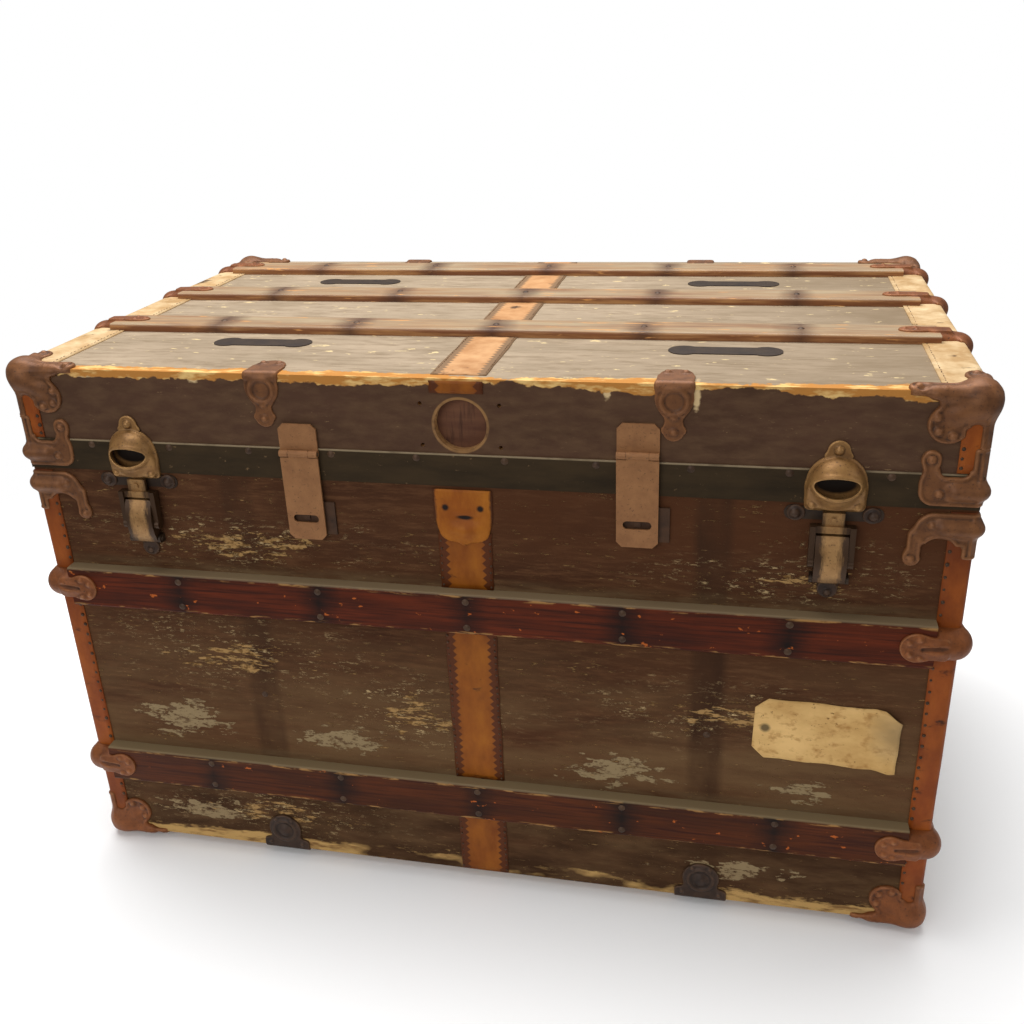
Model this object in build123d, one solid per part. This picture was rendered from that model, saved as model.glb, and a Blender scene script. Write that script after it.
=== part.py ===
from build123d import *
import os

# Travel trunk, in millimetres. +Z is up and the front faces -Y.
# The origin is the middle of the floor area that the closed trunk covers.

# Box
BOX_WIDTH = 900.0
BOX_DEPTH = 540.0
BOX_HEIGHT = 562.0
LID_HEIGHT = 104.0
JOINT_HEIGHT = BOX_HEIGHT - LID_HEIGHT
BOARD = 9.0
LID_BOARD = 8.0
CANVAS = 1.0
JOINT_GAP = 0.4

# Lip and band at the joint
LIP_RISE = 10.0
LIP_DROP = 30.0
LIP_THICK = 4.0
BAND_HEIGHT = 32.0
BAND_THICK = 1.2

# Slats
SLAT_WIDTH = 44.0
FRONT_SLAT_THICK = 14.0
TOP_SLAT_THICK = 8.0
RUNNER_THICK = 9.0
UPPER_SLAT_DROP = 151.0
UPPER_SLAT_HEIGHT = JOINT_HEIGHT - UPPER_SLAT_DROP
LOWER_SLAT_HEIGHT = 81.0
TOP_SLAT_START = 144.0
TOP_SLAT_PITCH = 152.0
TOP_SLAT_COUNT = 3
RUNNER_PITCH = 190.0
RUNNER_COUNT = 3
SLAT_EDGE_RADIUS = 3.0

# Leather
BINDING_WIDTH = 21.0
BINDING_THICK = 1.2
END_BINDING_TOP = 38.0
END_BINDING_SIDE = 18.0
STRAP_WIDTH = 52.0
STRAP_THICK = 0.8
STRAP_PATCH_DROP = 14.0
TAB_HEIGHT = 55.0
TAB_WIDTH = 58.0
TAB_BOTTOM_WIDTH = 44.0
TAB_THICK = 1.6

# Nails and rivets
NAIL_RADIUS = 3.5
NAIL_HEIGHT = 1.4
SLAT_NAIL_PITCH = 151.5
SLAT_NAIL_COUNT = 5
SLAT_NAIL_INSET = 8.0
BAND_NAIL_PITCH = 84.0
BAND_NAIL_COUNT = 10
BAND_NAIL_DROP = 5.0
RIVET_OFFSET = 233.0
RIVET_DROP = 252.0
RIVET_HEIGHT = JOINT_HEIGHT - RIVET_DROP

# Corner irons
IRON = 2.2
NOSE_RADIUS = 24.0
NOSE_SINK = 11.0
CORNER_LOBE = 49.0
CORNER_LOBE_RADIUS = 17.0
CORNER_DROP = 45.0
CORNER_TONGUE = 55.0
CORNER_TONGUE_WIDTH = 22.0
JOINT_IRON_GAP = 3.0
JOINT_IRON_REACH = 50.0
JOINT_IRON_BODY = 34.0
JOINT_IRON_EAR = 8.0
JOINT_IRON_EAR_RISE = 43.0
JOINT_IRON_TAIL_DROP = 45.0
JOINT_IRON_SIDE = 44.0
JOINT_BULB_RADIUS = 8.0
JOINT_BULB_LENGTH = 18.0
JOINT_BULB_OFFSET = 14.0

# Slat caps
CAP_REACH = 44.0
CAP_RETURN = 38.0
CAP_HEIGHT = 36.0
CAP_PROUD = 9.0
CAP_SHEET = 2.0
CAP_FILLET = 3.0
CAP_TONGUE_WIDTH = 26.0
TOP_CAP_REACH = 52.0
TOP_CAP_DROP = 28.0
TOP_CAP_NOSE = 9.0

# Spoon-shaped irons over the top and bottom edges
SPOON_OFFSET_LEFT = -188.0
SPOON_OFFSET_RIGHT = 194.0
SPOON_BOWL_RADIUS = 16.5
SPOON_NECK = 13.0
SPOON_FOOT_RADIUS = 11.0
SPOON_LENGTH = 52.0
SPOON_TOP_REACH = 24.0
BOTTOM_SPOON_OFFSET = 233.0
BOTTOM_SPOON_LENGTH = 36.0
BOTTOM_SPOON_RADIUS = 18.0

# Bone-shaped plates on the lid
BONE_LENGTH = 106.0
BONE_END_RADIUS = 15.0
BONE_WAIST = 24.0
BONE_THICK = 0.8
BONE_OFFSET = 233.0
BONE_FRONT_PLACE = 108.0
BONE_REAR_PLACE = 405.0

# Lock hole and its screw holes
LOCK_RADIUS = 24.5
LOCK_OFFSET = 2.0
LOCK_DROP = 44.0
LOCK_HEIGHT = BOX_HEIGHT - LOCK_DROP
SCREW_RADIUS = 2.0
SCREW_SPACING_X = 74.0
SCREW_SPACING_Z = 40.0
LOCK_BACK_WIDTH = 110.0
LOCK_BACK_HEIGHT = 66.0
LOCK_BACK_THICK = 5.0

# Hasps
HASP_WIDTH = 38.0
HASP_SHEET = 2.0
HASP_PLATE_HEIGHT = 29.0
HASP_LEAF_LENGTH = 89.0
HASP_CLIP = 5.0
HASP_BARREL_RADIUS = 3.5
HASP_PIN_RADIUS = 1.5
HASP_AXIS_OUT = 4.8
HASP_MIDDLE = 20.0
HASP_SEGMENT_GAP = 0.3
HASP_LEAF_GAP = 0.5
HASP_LEFT_OFFSET = -157.0
HASP_LEFT_RISE = 28.0
HASP_LEFT_HEIGHT = JOINT_HEIGHT + HASP_LEFT_RISE
HASP_RIGHT_OFFSET = 163.5
HASP_RIGHT_RISE = 39.0
HASP_RIGHT_HEIGHT = JOINT_HEIGHT + HASP_RIGHT_RISE
SLOT_WIDTH = 26.0
SLOT_HEIGHT = 8.0
SLOT_RISE = 22.0
STAPLE_WIDTH = 46.0
STAPLE_HEIGHT = 34.0
STAPLE_SHIFT = 6.0
STUB_WIDTH = 6.0
STUB_DEPTH = 5.0
STUB_GAP = 0.5
PIN_CLEARANCE = 0.05

# Draw latches
LATCH_INSET = 116.5
DOME_RADIUS = 25.0
DOME_WALL = 2.0
DOME_SINK = 4.0
DOME_RISE = 20.5
DOME_HEIGHT = JOINT_HEIGHT + DOME_RISE
MOUTH_WIDTH = 42.0
MOUTH_HEIGHT = 18.0
FLANGE_WIDTH = 50.0
FLANGE_OVERLAP = 5.0
FLANGE_RISE = 42.0
FLANGE_BOTTOM = JOINT_HEIGHT - FLANGE_OVERLAP
FLANGE_TOP = JOINT_HEIGHT + FLANGE_RISE
FLANGE_THICK = 1.5
DOME_TAB_RADIUS = 9.0
DOME_TAB_RISE = 8.0
DOME_TAB_HEIGHT = FLANGE_TOP + DOME_TAB_RISE
WING_REACH = 35.0
WING_RADIUS = 7.0
WING_DROP = 9.0
WING_HEIGHT = JOINT_HEIGHT - WING_DROP
WING_THICK = 0.9
FOOT_RADIUS = 9.0
FOOT_DROP = 82.0
FOOT_HEIGHT = JOINT_HEIGHT - FOOT_DROP
SPINE_WIDTH = 18.0
LEVER_PIN_RADIUS = 2.0
LEVER_AXIS_RISE = 12.0
LEVER_AXIS_HEIGHT = FOOT_HEIGHT + LEVER_AXIS_RISE
LEVER_AXIS_OUT = 6.0
LEVER_WIDTH = 28.0
LEVER_LENGTH = 43.0
LEVER_TOP = LEVER_AXIS_HEIGHT + LEVER_LENGTH
LEVER_BACK_OUT = 2.0
LEVER_TOP_OUT = 9.0
LEVER_BULGE_OUT = 14.5
LUG_THICK = 2.5
LUG_RADIUS = 4.0
LATCH_SIDE_GAP = 0.4
LINK_AXIS_RISE = 17.0
LINK_AXIS_HEIGHT = LEVER_AXIS_HEIGHT + LINK_AXIS_RISE
LINK_AXIS_OUT = 7.5
LINK_PIN_RADIUS = 2.0
LINK_CHEEK = 5.0
LINK_CHEEK_RADIUS = 5.0
LINK_BAR_GAP = 2.5
LINK_BAR_BOTTOM = LEVER_TOP + LINK_BAR_GAP
LINK_BAR = 6.5
LINK_BAR_TOP = LINK_BAR_BOTTOM + LINK_BAR
LINK_BACK_OUT = 2.5
LINK_FRONT_OUT = 9.0
LINK_CHEEK_BACK_OUT = 3.0
LINK_CHEEK_FRONT_OUT = 11.0
TONGUE_WIDTH = 19.0
TONGUE_LENGTH = 12.0
TONGUE_TOP = LINK_BAR_TOP + TONGUE_LENGTH
TONGUE_BACK_OUT = 3.0
TONGUE_FRONT_OUT = 7.0
TONGUE_RIVET = 4.0

# Rear hinges
HINGE_OFFSET = 300.0
HINGE_COUNT = 3
HINGE_WIDTH = 60.0
HINGE_LEAF = 46.0
HINGE_SHEET = 2.0
HINGE_BARREL_RADIUS = 4.5
HINGE_PIN_RADIUS = 2.5
HINGE_AXIS_OUT = 6.0
HINGE_MIDDLE = 24.0
HINGE_SEGMENT_GAP = 0.3

# End handles
HANDLE_DROP = 158.0
HANDLE_HEIGHT = JOINT_HEIGHT - HANDLE_DROP
HANDLE_SPAN = 190.0
HANDLE_FOOT = 34.0
HANDLE_RISE = 36.0
HANDLE_THICK = 6.0
HANDLE_WIDTH = 30.0
CAP_IRON_SIDE = 7.0
CAP_IRON_COVER = 2.5
CAP_IRON_END = 4.0
HANDLE_CAP_FILLET = 2.0

# Address label
LABEL_WIDTH = 134.0
LABEL_HEIGHT = 68.0
LABEL_THICK = 0.5
LABEL_CLIP = 12.0
LABEL_CENTRE_INSET = 106.0
LABEL_CENTRE_DROP = 239.0
LABEL_CENTRE_HEIGHT = JOINT_HEIGHT - LABEL_CENTRE_DROP

# Tray
TRAY_SIDE_GAP = 2.0
TRAY_HEIGHT = 92.0
TRAY_BELOW_JOINT = 12.0
TRAY_WALL = 6.0
TRAY_FLOOR = 4.0
TRAY_DIVIDER_PLACE = 250.0
TRAY_DIVIDER = 5.0
TAPE_WIDTH = 25.0
TAPE_LENGTH = 60.0
TAPE_THICK = 1.0
RUNNER_SIDE = 14.0
RUNNER_HEIGHT = 16.0
TRAY_SEAT_GAP = 0.3

# Places that follow from the sizes
CAP_TOTAL_OUT = FRONT_SLAT_THICK + CAP_SHEET
DOME_OUT = DOME_RADIUS - DOME_SINK
MID_Y = (DOME_OUT - CAP_TOTAL_OUT) / 2
FRONT_Y = MID_Y - BOX_DEPTH / 2
REAR_Y = MID_Y + BOX_DEPTH / 2
RIGHT_X = BOX_WIDTH / 2
FLOOR_OF_BOX = RUNNER_THICK
JOINT_Z = FLOOR_OF_BOX + JOINT_HEIGHT
LID_Z = JOINT_Z + JOINT_GAP
TOP_Z = FLOOR_OF_BOX + BOX_HEIGHT
INNER_X = RIGHT_X - CANVAS - BOARD
INNER_FRONT_Y = FRONT_Y + CANVAS + BOARD
INNER_REAR_Y = REAR_Y - CANVAS - BOARD
IRON_OUT = BINDING_THICK + IRON
FRONT = Plane(origin=(0, FRONT_Y, 0), x_dir=(1, 0, 0), z_dir=(0, -1, 0))
SMALL = 0.01


def up(height):
    """A height above the box's bottom edge, in the part's frame."""
    return FLOOR_OF_BOX + height


def block(x0, x1, y0, y1, z0, z1):
    """A box between two corners."""
    middle = Pos((x0 + x1) / 2, (y0 + y1) / 2, (z0 + z1) / 2)
    return middle * Box(abs(x1 - x0), abs(y1 - y0), abs(z1 - z0))


def on_front(sketch, thick, lift=0.0):
    """A plate on the front face: sketch in X and Z, standing out from lift."""
    return extrude(FRONT.offset(lift) * sketch, amount=thick)


def front_block(x0, x1, z0, z1, out0, out1):
    """A block on the front face, from out0 to out1 proud of it."""
    return block(x0, x1, FRONT_Y - out1, FRONT_Y - out0, z0, z1)


def to_rear(shape):
    """The same piece turned round to the rear face."""
    return Pos(0, 2 * MID_Y, 0) * (Rot(0, 0, 180) * shape)


def to_left(shape):
    """The mirror image at the left end."""
    return shape.mirror(Plane.YZ)


def four_corners(shape):
    """A front right piece repeated at all four corners."""
    left = to_left(shape)
    return [shape, left, to_rear(shape), to_rear(left)]


def rod(radius, length, x, y, z):
    """A round bar along X, centred on its point."""
    return Pos(x, y, z) * (Rot(0, 90, 0) * Cylinder(radius, length))


def dome_head(radius, height):
    """A low round nail head on the XY plane."""
    sphere_radius = (radius**2 + height**2) / (2 * height)
    ball = Pos(0, 0, height - sphere_radius) * Sphere(sphere_radius)
    return ball & (Pos(0, 0, height) * Box(4 * radius, 4 * radius, 2 * height))


def front_nail(x, z, out, radius=NAIL_RADIUS, height=NAIL_HEIGHT):
    """A nail head on the front, out proud of the face."""
    return Pos(x, FRONT_Y - out, z) * (Rot(90, 0, 0) * dome_head(radius, height))


def write(name, *solids):
    """Write one node, as a group of solids if it has more than one."""
    shape = solids[0] if len(solids) == 1 else Compound(children=list(solids))
    export_step(shape, os.path.join("parts", name + ".step"))


def spread(count, pitch):
    """Evenly spaced offsets about zero."""
    return [pitch * (i - (count - 1) / 2) for i in range(count)]


def outside_box(shape):
    """Cut a wrap back to the leather that it lies on, below the lid top."""
    core = block(
        -RIGHT_X - BINDING_THICK,
        RIGHT_X + BINDING_THICK,
        FRONT_Y - BINDING_THICK,
        REAR_Y + BINDING_THICK,
        FLOOR_OF_BOX - BINDING_THICK,
        TOP_Z + BINDING_THICK,
    )
    return shape - core


def edge_column(x_reach, y_reach, z0, z1, inner, outer):
    """An L-shaped wrap of the front right vertical edge."""
    solid = block(
        RIGHT_X - x_reach, RIGHT_X + outer, FRONT_Y - outer, FRONT_Y + y_reach, z0, z1
    )
    core = block(
        RIGHT_X - x_reach - outer,
        RIGHT_X + inner,
        FRONT_Y - inner,
        FRONT_Y + y_reach + outer,
        z0 - outer,
        z1 + outer,
    )
    return solid - core


# Base box
def make_base():
    outer_x = RIGHT_X - CANVAS
    outer_front = FRONT_Y + CANVAS
    outer_rear = REAR_Y - CANVAS
    low = FLOOR_OF_BOX
    write("base_front_board", block(-outer_x, outer_x, outer_front, INNER_FRONT_Y, low, JOINT_Z))
    write("base_rear_board", block(-outer_x, outer_x, INNER_REAR_Y, outer_rear, low, JOINT_Z))
    left = block(-outer_x, -INNER_X, INNER_FRONT_Y, INNER_REAR_Y, low, JOINT_Z)
    write("base_left_board", left)
    right = block(INNER_X, outer_x, INNER_FRONT_Y, INNER_REAR_Y, low, JOINT_Z)
    write("base_right_board", right)
    bottom = block(-INNER_X, INNER_X, INNER_FRONT_Y, INNER_REAR_Y, low, low + BOARD)
    write("base_bottom_board", bottom)
    skin = block(-RIGHT_X, RIGHT_X, FRONT_Y, REAR_Y, low, JOINT_Z)
    hollow = block(-outer_x, outer_x, outer_front, outer_rear, low - BOARD, JOINT_Z + BOARD)
    write("base_canvas", skin - hollow)


def lip_ring(outer_x, front_y, rear_y, z0, z1):
    """Four strips that line the inside of the rim."""
    inner_x = outer_x - LIP_THICK
    return [
        block(-outer_x, outer_x, front_y, front_y + LIP_THICK, z0, z1),
        block(-outer_x, outer_x, rear_y - LIP_THICK, rear_y, z0, z1),
        block(-outer_x, -inner_x, front_y + LIP_THICK, rear_y - LIP_THICK, z0, z1),
        block(inner_x, outer_x, front_y + LIP_THICK, rear_y - LIP_THICK, z0, z1),
    ]


def make_lip():
    strips = lip_ring(
        INNER_X, INNER_FRONT_Y, INNER_REAR_Y, JOINT_Z - LIP_DROP, JOINT_Z + LIP_RISE
    )
    write("base_lip", *strips)


# Slats
def front_slat(height):
    """A slat along the front, butted between the leather bindings."""
    half = RIGHT_X - BINDING_WIDTH
    slat = front_block(-half, half, up(height), up(height) + SLAT_WIDTH, 0, FRONT_SLAT_THICK)
    long_edges = slat.faces().sort_by(Axis.Y)[0].edges().filter_by(Axis.X)
    return fillet(long_edges, SLAT_EDGE_RADIUS)


def top_slat(start):
    """A slat along the lid top, start behind the front face."""
    half = RIGHT_X - BINDING_WIDTH
    y0 = FRONT_Y + start
    slat = block(-half, half, y0, y0 + SLAT_WIDTH, TOP_Z, TOP_Z + TOP_SLAT_THICK)
    long_edges = slat.faces().sort_by(Axis.Z)[-1].edges().filter_by(Axis.X)
    return fillet(long_edges, SLAT_EDGE_RADIUS)


def make_slats():
    upper = front_slat(UPPER_SLAT_HEIGHT)
    lower = front_slat(LOWER_SLAT_HEIGHT)
    write("front_upper_slat", upper)
    write("front_lower_slat", lower)
    write("rear_slats", to_rear(upper), to_rear(lower))
    half = RIGHT_X - CORNER_TONGUE - BINDING_WIDTH
    runners = []
    for y in spread(RUNNER_COUNT, RUNNER_PITCH):
        y_mid = MID_Y + y
        bar = block(
            -half, half, y_mid - SLAT_WIDTH / 2, y_mid + SLAT_WIDTH / 2, 0, FLOOR_OF_BOX
        )
        runners.append(bar)
    write("bottom_runners", *runners)


def front_cap(height):
    """The iron cap over a front slat's right end and the box corner."""
    z0 = up(height) + (SLAT_WIDTH - CAP_HEIGHT) / 2
    z1 = z0 + CAP_HEIGHT
    x_end = RIGHT_X - BINDING_WIDTH
    corner = block(
        x_end, RIGHT_X + CAP_PROUD, FRONT_Y - CAP_TOTAL_OUT, FRONT_Y + CAP_RETURN, z0, z1
    )
    inner = block(
        x_end - CAP_PROUD,
        RIGHT_X + BINDING_THICK,
        FRONT_Y - BINDING_THICK,
        FRONT_Y + CAP_RETURN + CAP_PROUD,
        z0 - CAP_PROUD,
        z1 + CAP_PROUD,
    )
    upright = corner.edges().filter_by(Axis.Z).sort_by(Axis.X)[-2:].sort_by(Axis.Y)[0]
    corner = fillet(upright, CAP_TOTAL_OUT - CAP_FILLET)
    rims = corner.faces().filter_by(Axis.Z).edges()
    corner = fillet(rims, CAP_FILLET) - inner
    reach = x_end - (RIGHT_X - CAP_REACH)
    tongue = Rectangle(reach, CAP_TONGUE_WIDTH)
    tongue += Pos(-reach / 2, 0) * Circle(CAP_TONGUE_WIDTH / 2)
    x_mid = x_end - reach / 2
    leaf = on_front(Pos(x_mid, (z0 + z1) / 2) * tongue, CAP_SHEET, FRONT_SLAT_THICK)
    return corner + leaf


def top_cap(start):
    """The iron cap over a top slat's right end and the lid's edge."""
    y_mid = FRONT_Y + start + SLAT_WIDTH / 2
    x_end = RIGHT_X - BINDING_WIDTH
    half = CAP_HEIGHT / 2
    top = TOP_Z + TOP_SLAT_THICK + CAP_SHEET
    corner = block(
        x_end, RIGHT_X + TOP_CAP_NOSE, y_mid - half, y_mid + half, TOP_Z - TOP_CAP_DROP, top
    )
    long_edge = corner.edges().filter_by(Axis.Y).sort_by(Axis.X)[-2:].sort_by(Axis.Z)[-1]
    corner = fillet(long_edge, TOP_CAP_NOSE)
    rims = corner.faces().filter_by(Axis.Y).edges()
    corner = fillet(rims, CAP_FILLET)
    inner = block(
        x_end - TOP_CAP_NOSE,
        RIGHT_X + BINDING_THICK,
        y_mid - CAP_HEIGHT,
        y_mid + CAP_HEIGHT,
        TOP_Z - TOP_CAP_DROP - TOP_CAP_NOSE,
        TOP_Z + BINDING_THICK,
    )
    reach = x_end - (RIGHT_X - TOP_CAP_REACH)
    tongue = Rectangle(reach, CAP_TONGUE_WIDTH)
    tongue += Pos(-reach / 2, 0) * Circle(CAP_TONGUE_WIDTH / 2)
    face = Pos(x_end - reach / 2, y_mid, TOP_Z + TOP_SLAT_THICK) * tongue
    leaf = extrude(face, amount=CAP_SHEET)
    return corner - inner + leaf


def make_slat_caps():
    caps = []
    for height in (UPPER_SLAT_HEIGHT, LOWER_SLAT_HEIGHT):
        caps += four_corners(front_cap(height))
    write("base_slat_clamps", *caps)
    caps = []
    for i in range(TOP_SLAT_COUNT):
        cap = top_cap(TOP_SLAT_START + i * TOP_SLAT_PITCH)
        caps += [cap, to_left(cap)]
    write("top_slat_clamps", *caps)


# Leather on the edges
def make_bindings():
    column = edge_column(
        BINDING_WIDTH, BINDING_WIDTH, FLOOR_OF_BOX, JOINT_Z, 0, BINDING_THICK
    )
    write("edge_bindings", *four_corners(column))
    band_top = LID_Z + BAND_HEIGHT
    upper = edge_column(
        BINDING_WIDTH, BINDING_WIDTH, band_top, TOP_Z - END_BINDING_SIDE, 0, BINDING_THICK
    )
    strip = block(
        RIGHT_X - END_BINDING_TOP,
        RIGHT_X + BINDING_THICK,
        FRONT_Y - BINDING_THICK,
        REAR_Y + BINDING_THICK,
        TOP_Z - END_BINDING_SIDE,
        TOP_Z + BINDING_THICK,
    )
    strip -= block(-RIGHT_X, RIGHT_X, FRONT_Y, REAR_Y, 0, TOP_Z)
    strip -= block(
        -RIGHT_X,
        RIGHT_X - BINDING_WIDTH,
        FRONT_Y - BINDING_THICK,
        FRONT_Y,
        TOP_Z - END_BINDING_SIDE,
        TOP_Z + BINDING_THICK,
    )
    strip -= block(
        -RIGHT_X,
        RIGHT_X - BINDING_WIDTH,
        REAR_Y,
        REAR_Y + BINDING_THICK,
        TOP_Z - END_BINDING_SIDE,
        TOP_Z + BINDING_THICK,
    )
    for i in range(TOP_SLAT_COUNT):
        y0 = FRONT_Y + TOP_SLAT_START + i * TOP_SLAT_PITCH
        strip -= block(
            0, RIGHT_X - BINDING_WIDTH, y0, y0 + SLAT_WIDTH, TOP_Z, TOP_Z + TOP_SLAT_THICK
        )
    write("end_bindings", strip, to_left(strip), *four_corners(upper))


def strap_piece(y0, y1):
    """Leather across the lid top between two slats."""
    half = STRAP_WIDTH / 2
    return block(-half, half, FRONT_Y + y0, FRONT_Y + y1, TOP_Z, TOP_Z + STRAP_THICK)


def make_straps():
    half = STRAP_WIDTH / 2
    lower_top = LOWER_SLAT_HEIGHT + SLAT_WIDTH
    upper_top = UPPER_SLAT_HEIGHT + SLAT_WIDTH
    tab_low = JOINT_HEIGHT - TAB_HEIGHT
    pieces = [
        front_block(-half, half, up(0), up(LOWER_SLAT_HEIGHT), 0, STRAP_THICK),
        front_block(-half, half, up(lower_top), up(UPPER_SLAT_HEIGHT), 0, STRAP_THICK),
        front_block(-half, half, up(upper_top), up(tab_low), 0, STRAP_THICK),
    ]
    tab = Polygon(
        (-TAB_BOTTOM_WIDTH / 2, up(tab_low)),
        (TAB_BOTTOM_WIDTH / 2, up(tab_low)),
        (TAB_WIDTH / 2, up(JOINT_HEIGHT - JOINT_IRON_GAP)),
        (-TAB_WIDTH / 2, up(JOINT_HEIGHT - JOINT_IRON_GAP)),
        align=None,
    )
    pieces.append(on_front(tab, TAB_THICK))
    write("front_strap", *pieces)
    starts = [TOP_SLAT_START + i * TOP_SLAT_PITCH for i in range(TOP_SLAT_COUNT)]
    y_from = [0.0] + [start + SLAT_WIDTH for start in starts]
    y_to = starts + [BOX_DEPTH]
    pieces = [strap_piece(y0, y1) for y0, y1 in zip(y_from, y_to)]
    patch = front_block(-half, half, TOP_Z - STRAP_PATCH_DROP, TOP_Z, 0, STRAP_THICK)
    write("top_straps", patch, *pieces)


# Corner irons
def three_way_corner():
    """The front right top iron, with a lobe, a tongue and a round nose."""
    inner = BINDING_THICK
    low = TOP_Z - CORNER_DROP
    lobe_x = RIGHT_X - CORNER_LOBE + CORNER_LOBE_RADIUS
    lobe_z = low + CORNER_LOBE_RADIUS
    front = Pos(lobe_x, lobe_z) * Circle(CORNER_LOBE_RADIUS)
    width = RIGHT_X + IRON_OUT - lobe_x
    top = TOP_Z + IRON_OUT
    front += Pos(lobe_x + width / 2, (lobe_z + top) / 2) * Rectangle(width, top - lobe_z)
    plate = on_front(front, IRON, inner)
    side = block(
        RIGHT_X + inner,
        RIGHT_X + IRON_OUT,
        FRONT_Y - IRON_OUT,
        FRONT_Y + CORNER_LOBE,
        low,
        TOP_Z + IRON_OUT,
    )
    tongue = Pos(RIGHT_X + IRON_OUT - CORNER_TONGUE / 2, FRONT_Y - IRON_OUT + CORNER_TONGUE_WIDTH / 2)
    sheet = tongue * Rectangle(CORNER_TONGUE, CORNER_TONGUE_WIDTH)
    tip = Pos(RIGHT_X + IRON_OUT - CORNER_TONGUE, FRONT_Y - IRON_OUT + CORNER_TONGUE_WIDTH / 2)
    sheet += tip * Circle(CORNER_TONGUE_WIDTH / 2)
    back = Pos(RIGHT_X + IRON_OUT - CORNER_TONGUE_WIDTH / 2, FRONT_Y - IRON_OUT + CORNER_LOBE / 2)
    sheet += back * Rectangle(CORNER_TONGUE_WIDTH, CORNER_LOBE)
    cover = Pos(0, 0, TOP_Z + inner) * extrude(sheet, amount=IRON)
    ball = Pos(RIGHT_X - NOSE_SINK, FRONT_Y + NOSE_SINK, TOP_Z - NOSE_SINK) * Sphere(NOSE_RADIUS)
    return outside_box(plate + side + cover + ball)


def make_three_way_corners():
    corner = three_way_corner()
    write("top_corners", *four_corners(corner))
    middle = (FLOOR_OF_BOX + TOP_Z) / 2
    lower = corner.mirror(Plane(origin=(0, 0, middle), z_dir=(0, 0, 1)))
    below = block(-BOX_WIDTH, BOX_WIDTH, -BOX_WIDTH, BOX_WIDTH, -BOX_HEIGHT, 0)
    write("bottom_corners", *four_corners(lower - below))


def bulb(height):
    """The rounded ridge that bends round the corner at a joint iron."""
    z = up(height)
    y = FRONT_Y - BINDING_THICK
    x = RIGHT_X + BINDING_THICK
    along_x = Pos(x - JOINT_BULB_LENGTH / 2, y, z) * (
        Rot(0, 90, 0) * Cylinder(JOINT_BULB_RADIUS, JOINT_BULB_LENGTH)
    )
    along_y = Pos(x, y + JOINT_BULB_LENGTH / 2, z) * (
        Rot(90, 0, 0) * Cylinder(JOINT_BULB_RADIUS, JOINT_BULB_LENGTH)
    )
    ridge = along_x + along_y
    for px, py in ((x - JOINT_BULB_LENGTH, y), (x, y), (x, y + JOINT_BULB_LENGTH)):
        ridge += Pos(px, py, z) * Sphere(JOINT_BULB_RADIUS)
    return ridge


def joint_iron(edge, direction):
    """A joint iron above (direction 1) or below (direction -1) the joint."""
    near = edge + direction * JOINT_IRON_GAP
    far = near + direction * JOINT_IRON_BODY
    tip = near + direction * (JOINT_IRON_EAR_RISE if direction > 0 else JOINT_IRON_TAIL_DROP)
    x_left = RIGHT_X - JOINT_IRON_REACH
    x_right = RIGHT_X + IRON_OUT
    body = Pos((x_left + x_right) / 2, up((near + far) / 2)) * RectangleRounded(
        x_right - x_left, JOINT_IRON_BODY, JOINT_IRON_EAR
    )
    square = Pos(x_right - BINDING_WIDTH / 2, up((near + far) / 2)) * Rectangle(
        BINDING_WIDTH, JOINT_IRON_BODY
    )
    ear_x = x_left + JOINT_IRON_EAR
    arm = Pos(ear_x, up((near + tip) / 2)) * Rectangle(2 * JOINT_IRON_EAR, abs(tip - near) / 2)
    ear = Pos(ear_x, up(tip)) * Circle(JOINT_IRON_EAR)
    link = Pos(ear_x, up((far + tip) / 2)) * Rectangle(JOINT_IRON_EAR, abs(tip - far) + SMALL)
    plate = on_front(body + square + arm + ear + link, IRON, BINDING_THICK)
    side = block(
        RIGHT_X + BINDING_THICK,
        RIGHT_X + IRON_OUT,
        FRONT_Y - IRON_OUT,
        FRONT_Y + JOINT_IRON_SIDE,
        up(near),
        up(near + direction * (JOINT_IRON_EAR_RISE + JOINT_IRON_EAR)),
    )
    return outside_box(plate + side + bulb(near + direction * JOINT_BULB_OFFSET))


def make_joint_irons():
    write("base_joint_corners", *four_corners(joint_iron(JOINT_HEIGHT, -1)))
    write("lid_joint_corners", *four_corners(joint_iron(JOINT_HEIGHT, 1)))


# Irons over the long edges
def spoon(x):
    """A spoon-shaped iron from the lid top down the front."""
    bowl_z = TOP_Z - SPOON_BOWL_RADIUS + IRON
    foot_z = TOP_Z - SPOON_LENGTH + SPOON_FOOT_RADIUS
    face = Pos(x, bowl_z) * Circle(SPOON_BOWL_RADIUS)
    face += Pos(x, TOP_Z - SPOON_BOWL_RADIUS / 2 + IRON) * Rectangle(
        2 * SPOON_BOWL_RADIUS, SPOON_BOWL_RADIUS
    )
    face += Pos(x, (bowl_z + foot_z) / 2) * Rectangle(SPOON_NECK, bowl_z - foot_z)
    face += Pos(x, foot_z) * Circle(SPOON_FOOT_RADIUS)
    plate = on_front(face, IRON)
    cover = Pos(x, FRONT_Y - IRON + SPOON_TOP_REACH / 2) * Rectangle(
        2 * SPOON_BOWL_RADIUS, SPOON_TOP_REACH
    )
    cover += Pos(x, FRONT_Y - IRON + SPOON_TOP_REACH) * Circle(SPOON_BOWL_RADIUS)
    return plate + Pos(0, 0, TOP_Z) * extrude(cover, amount=IRON)


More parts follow.
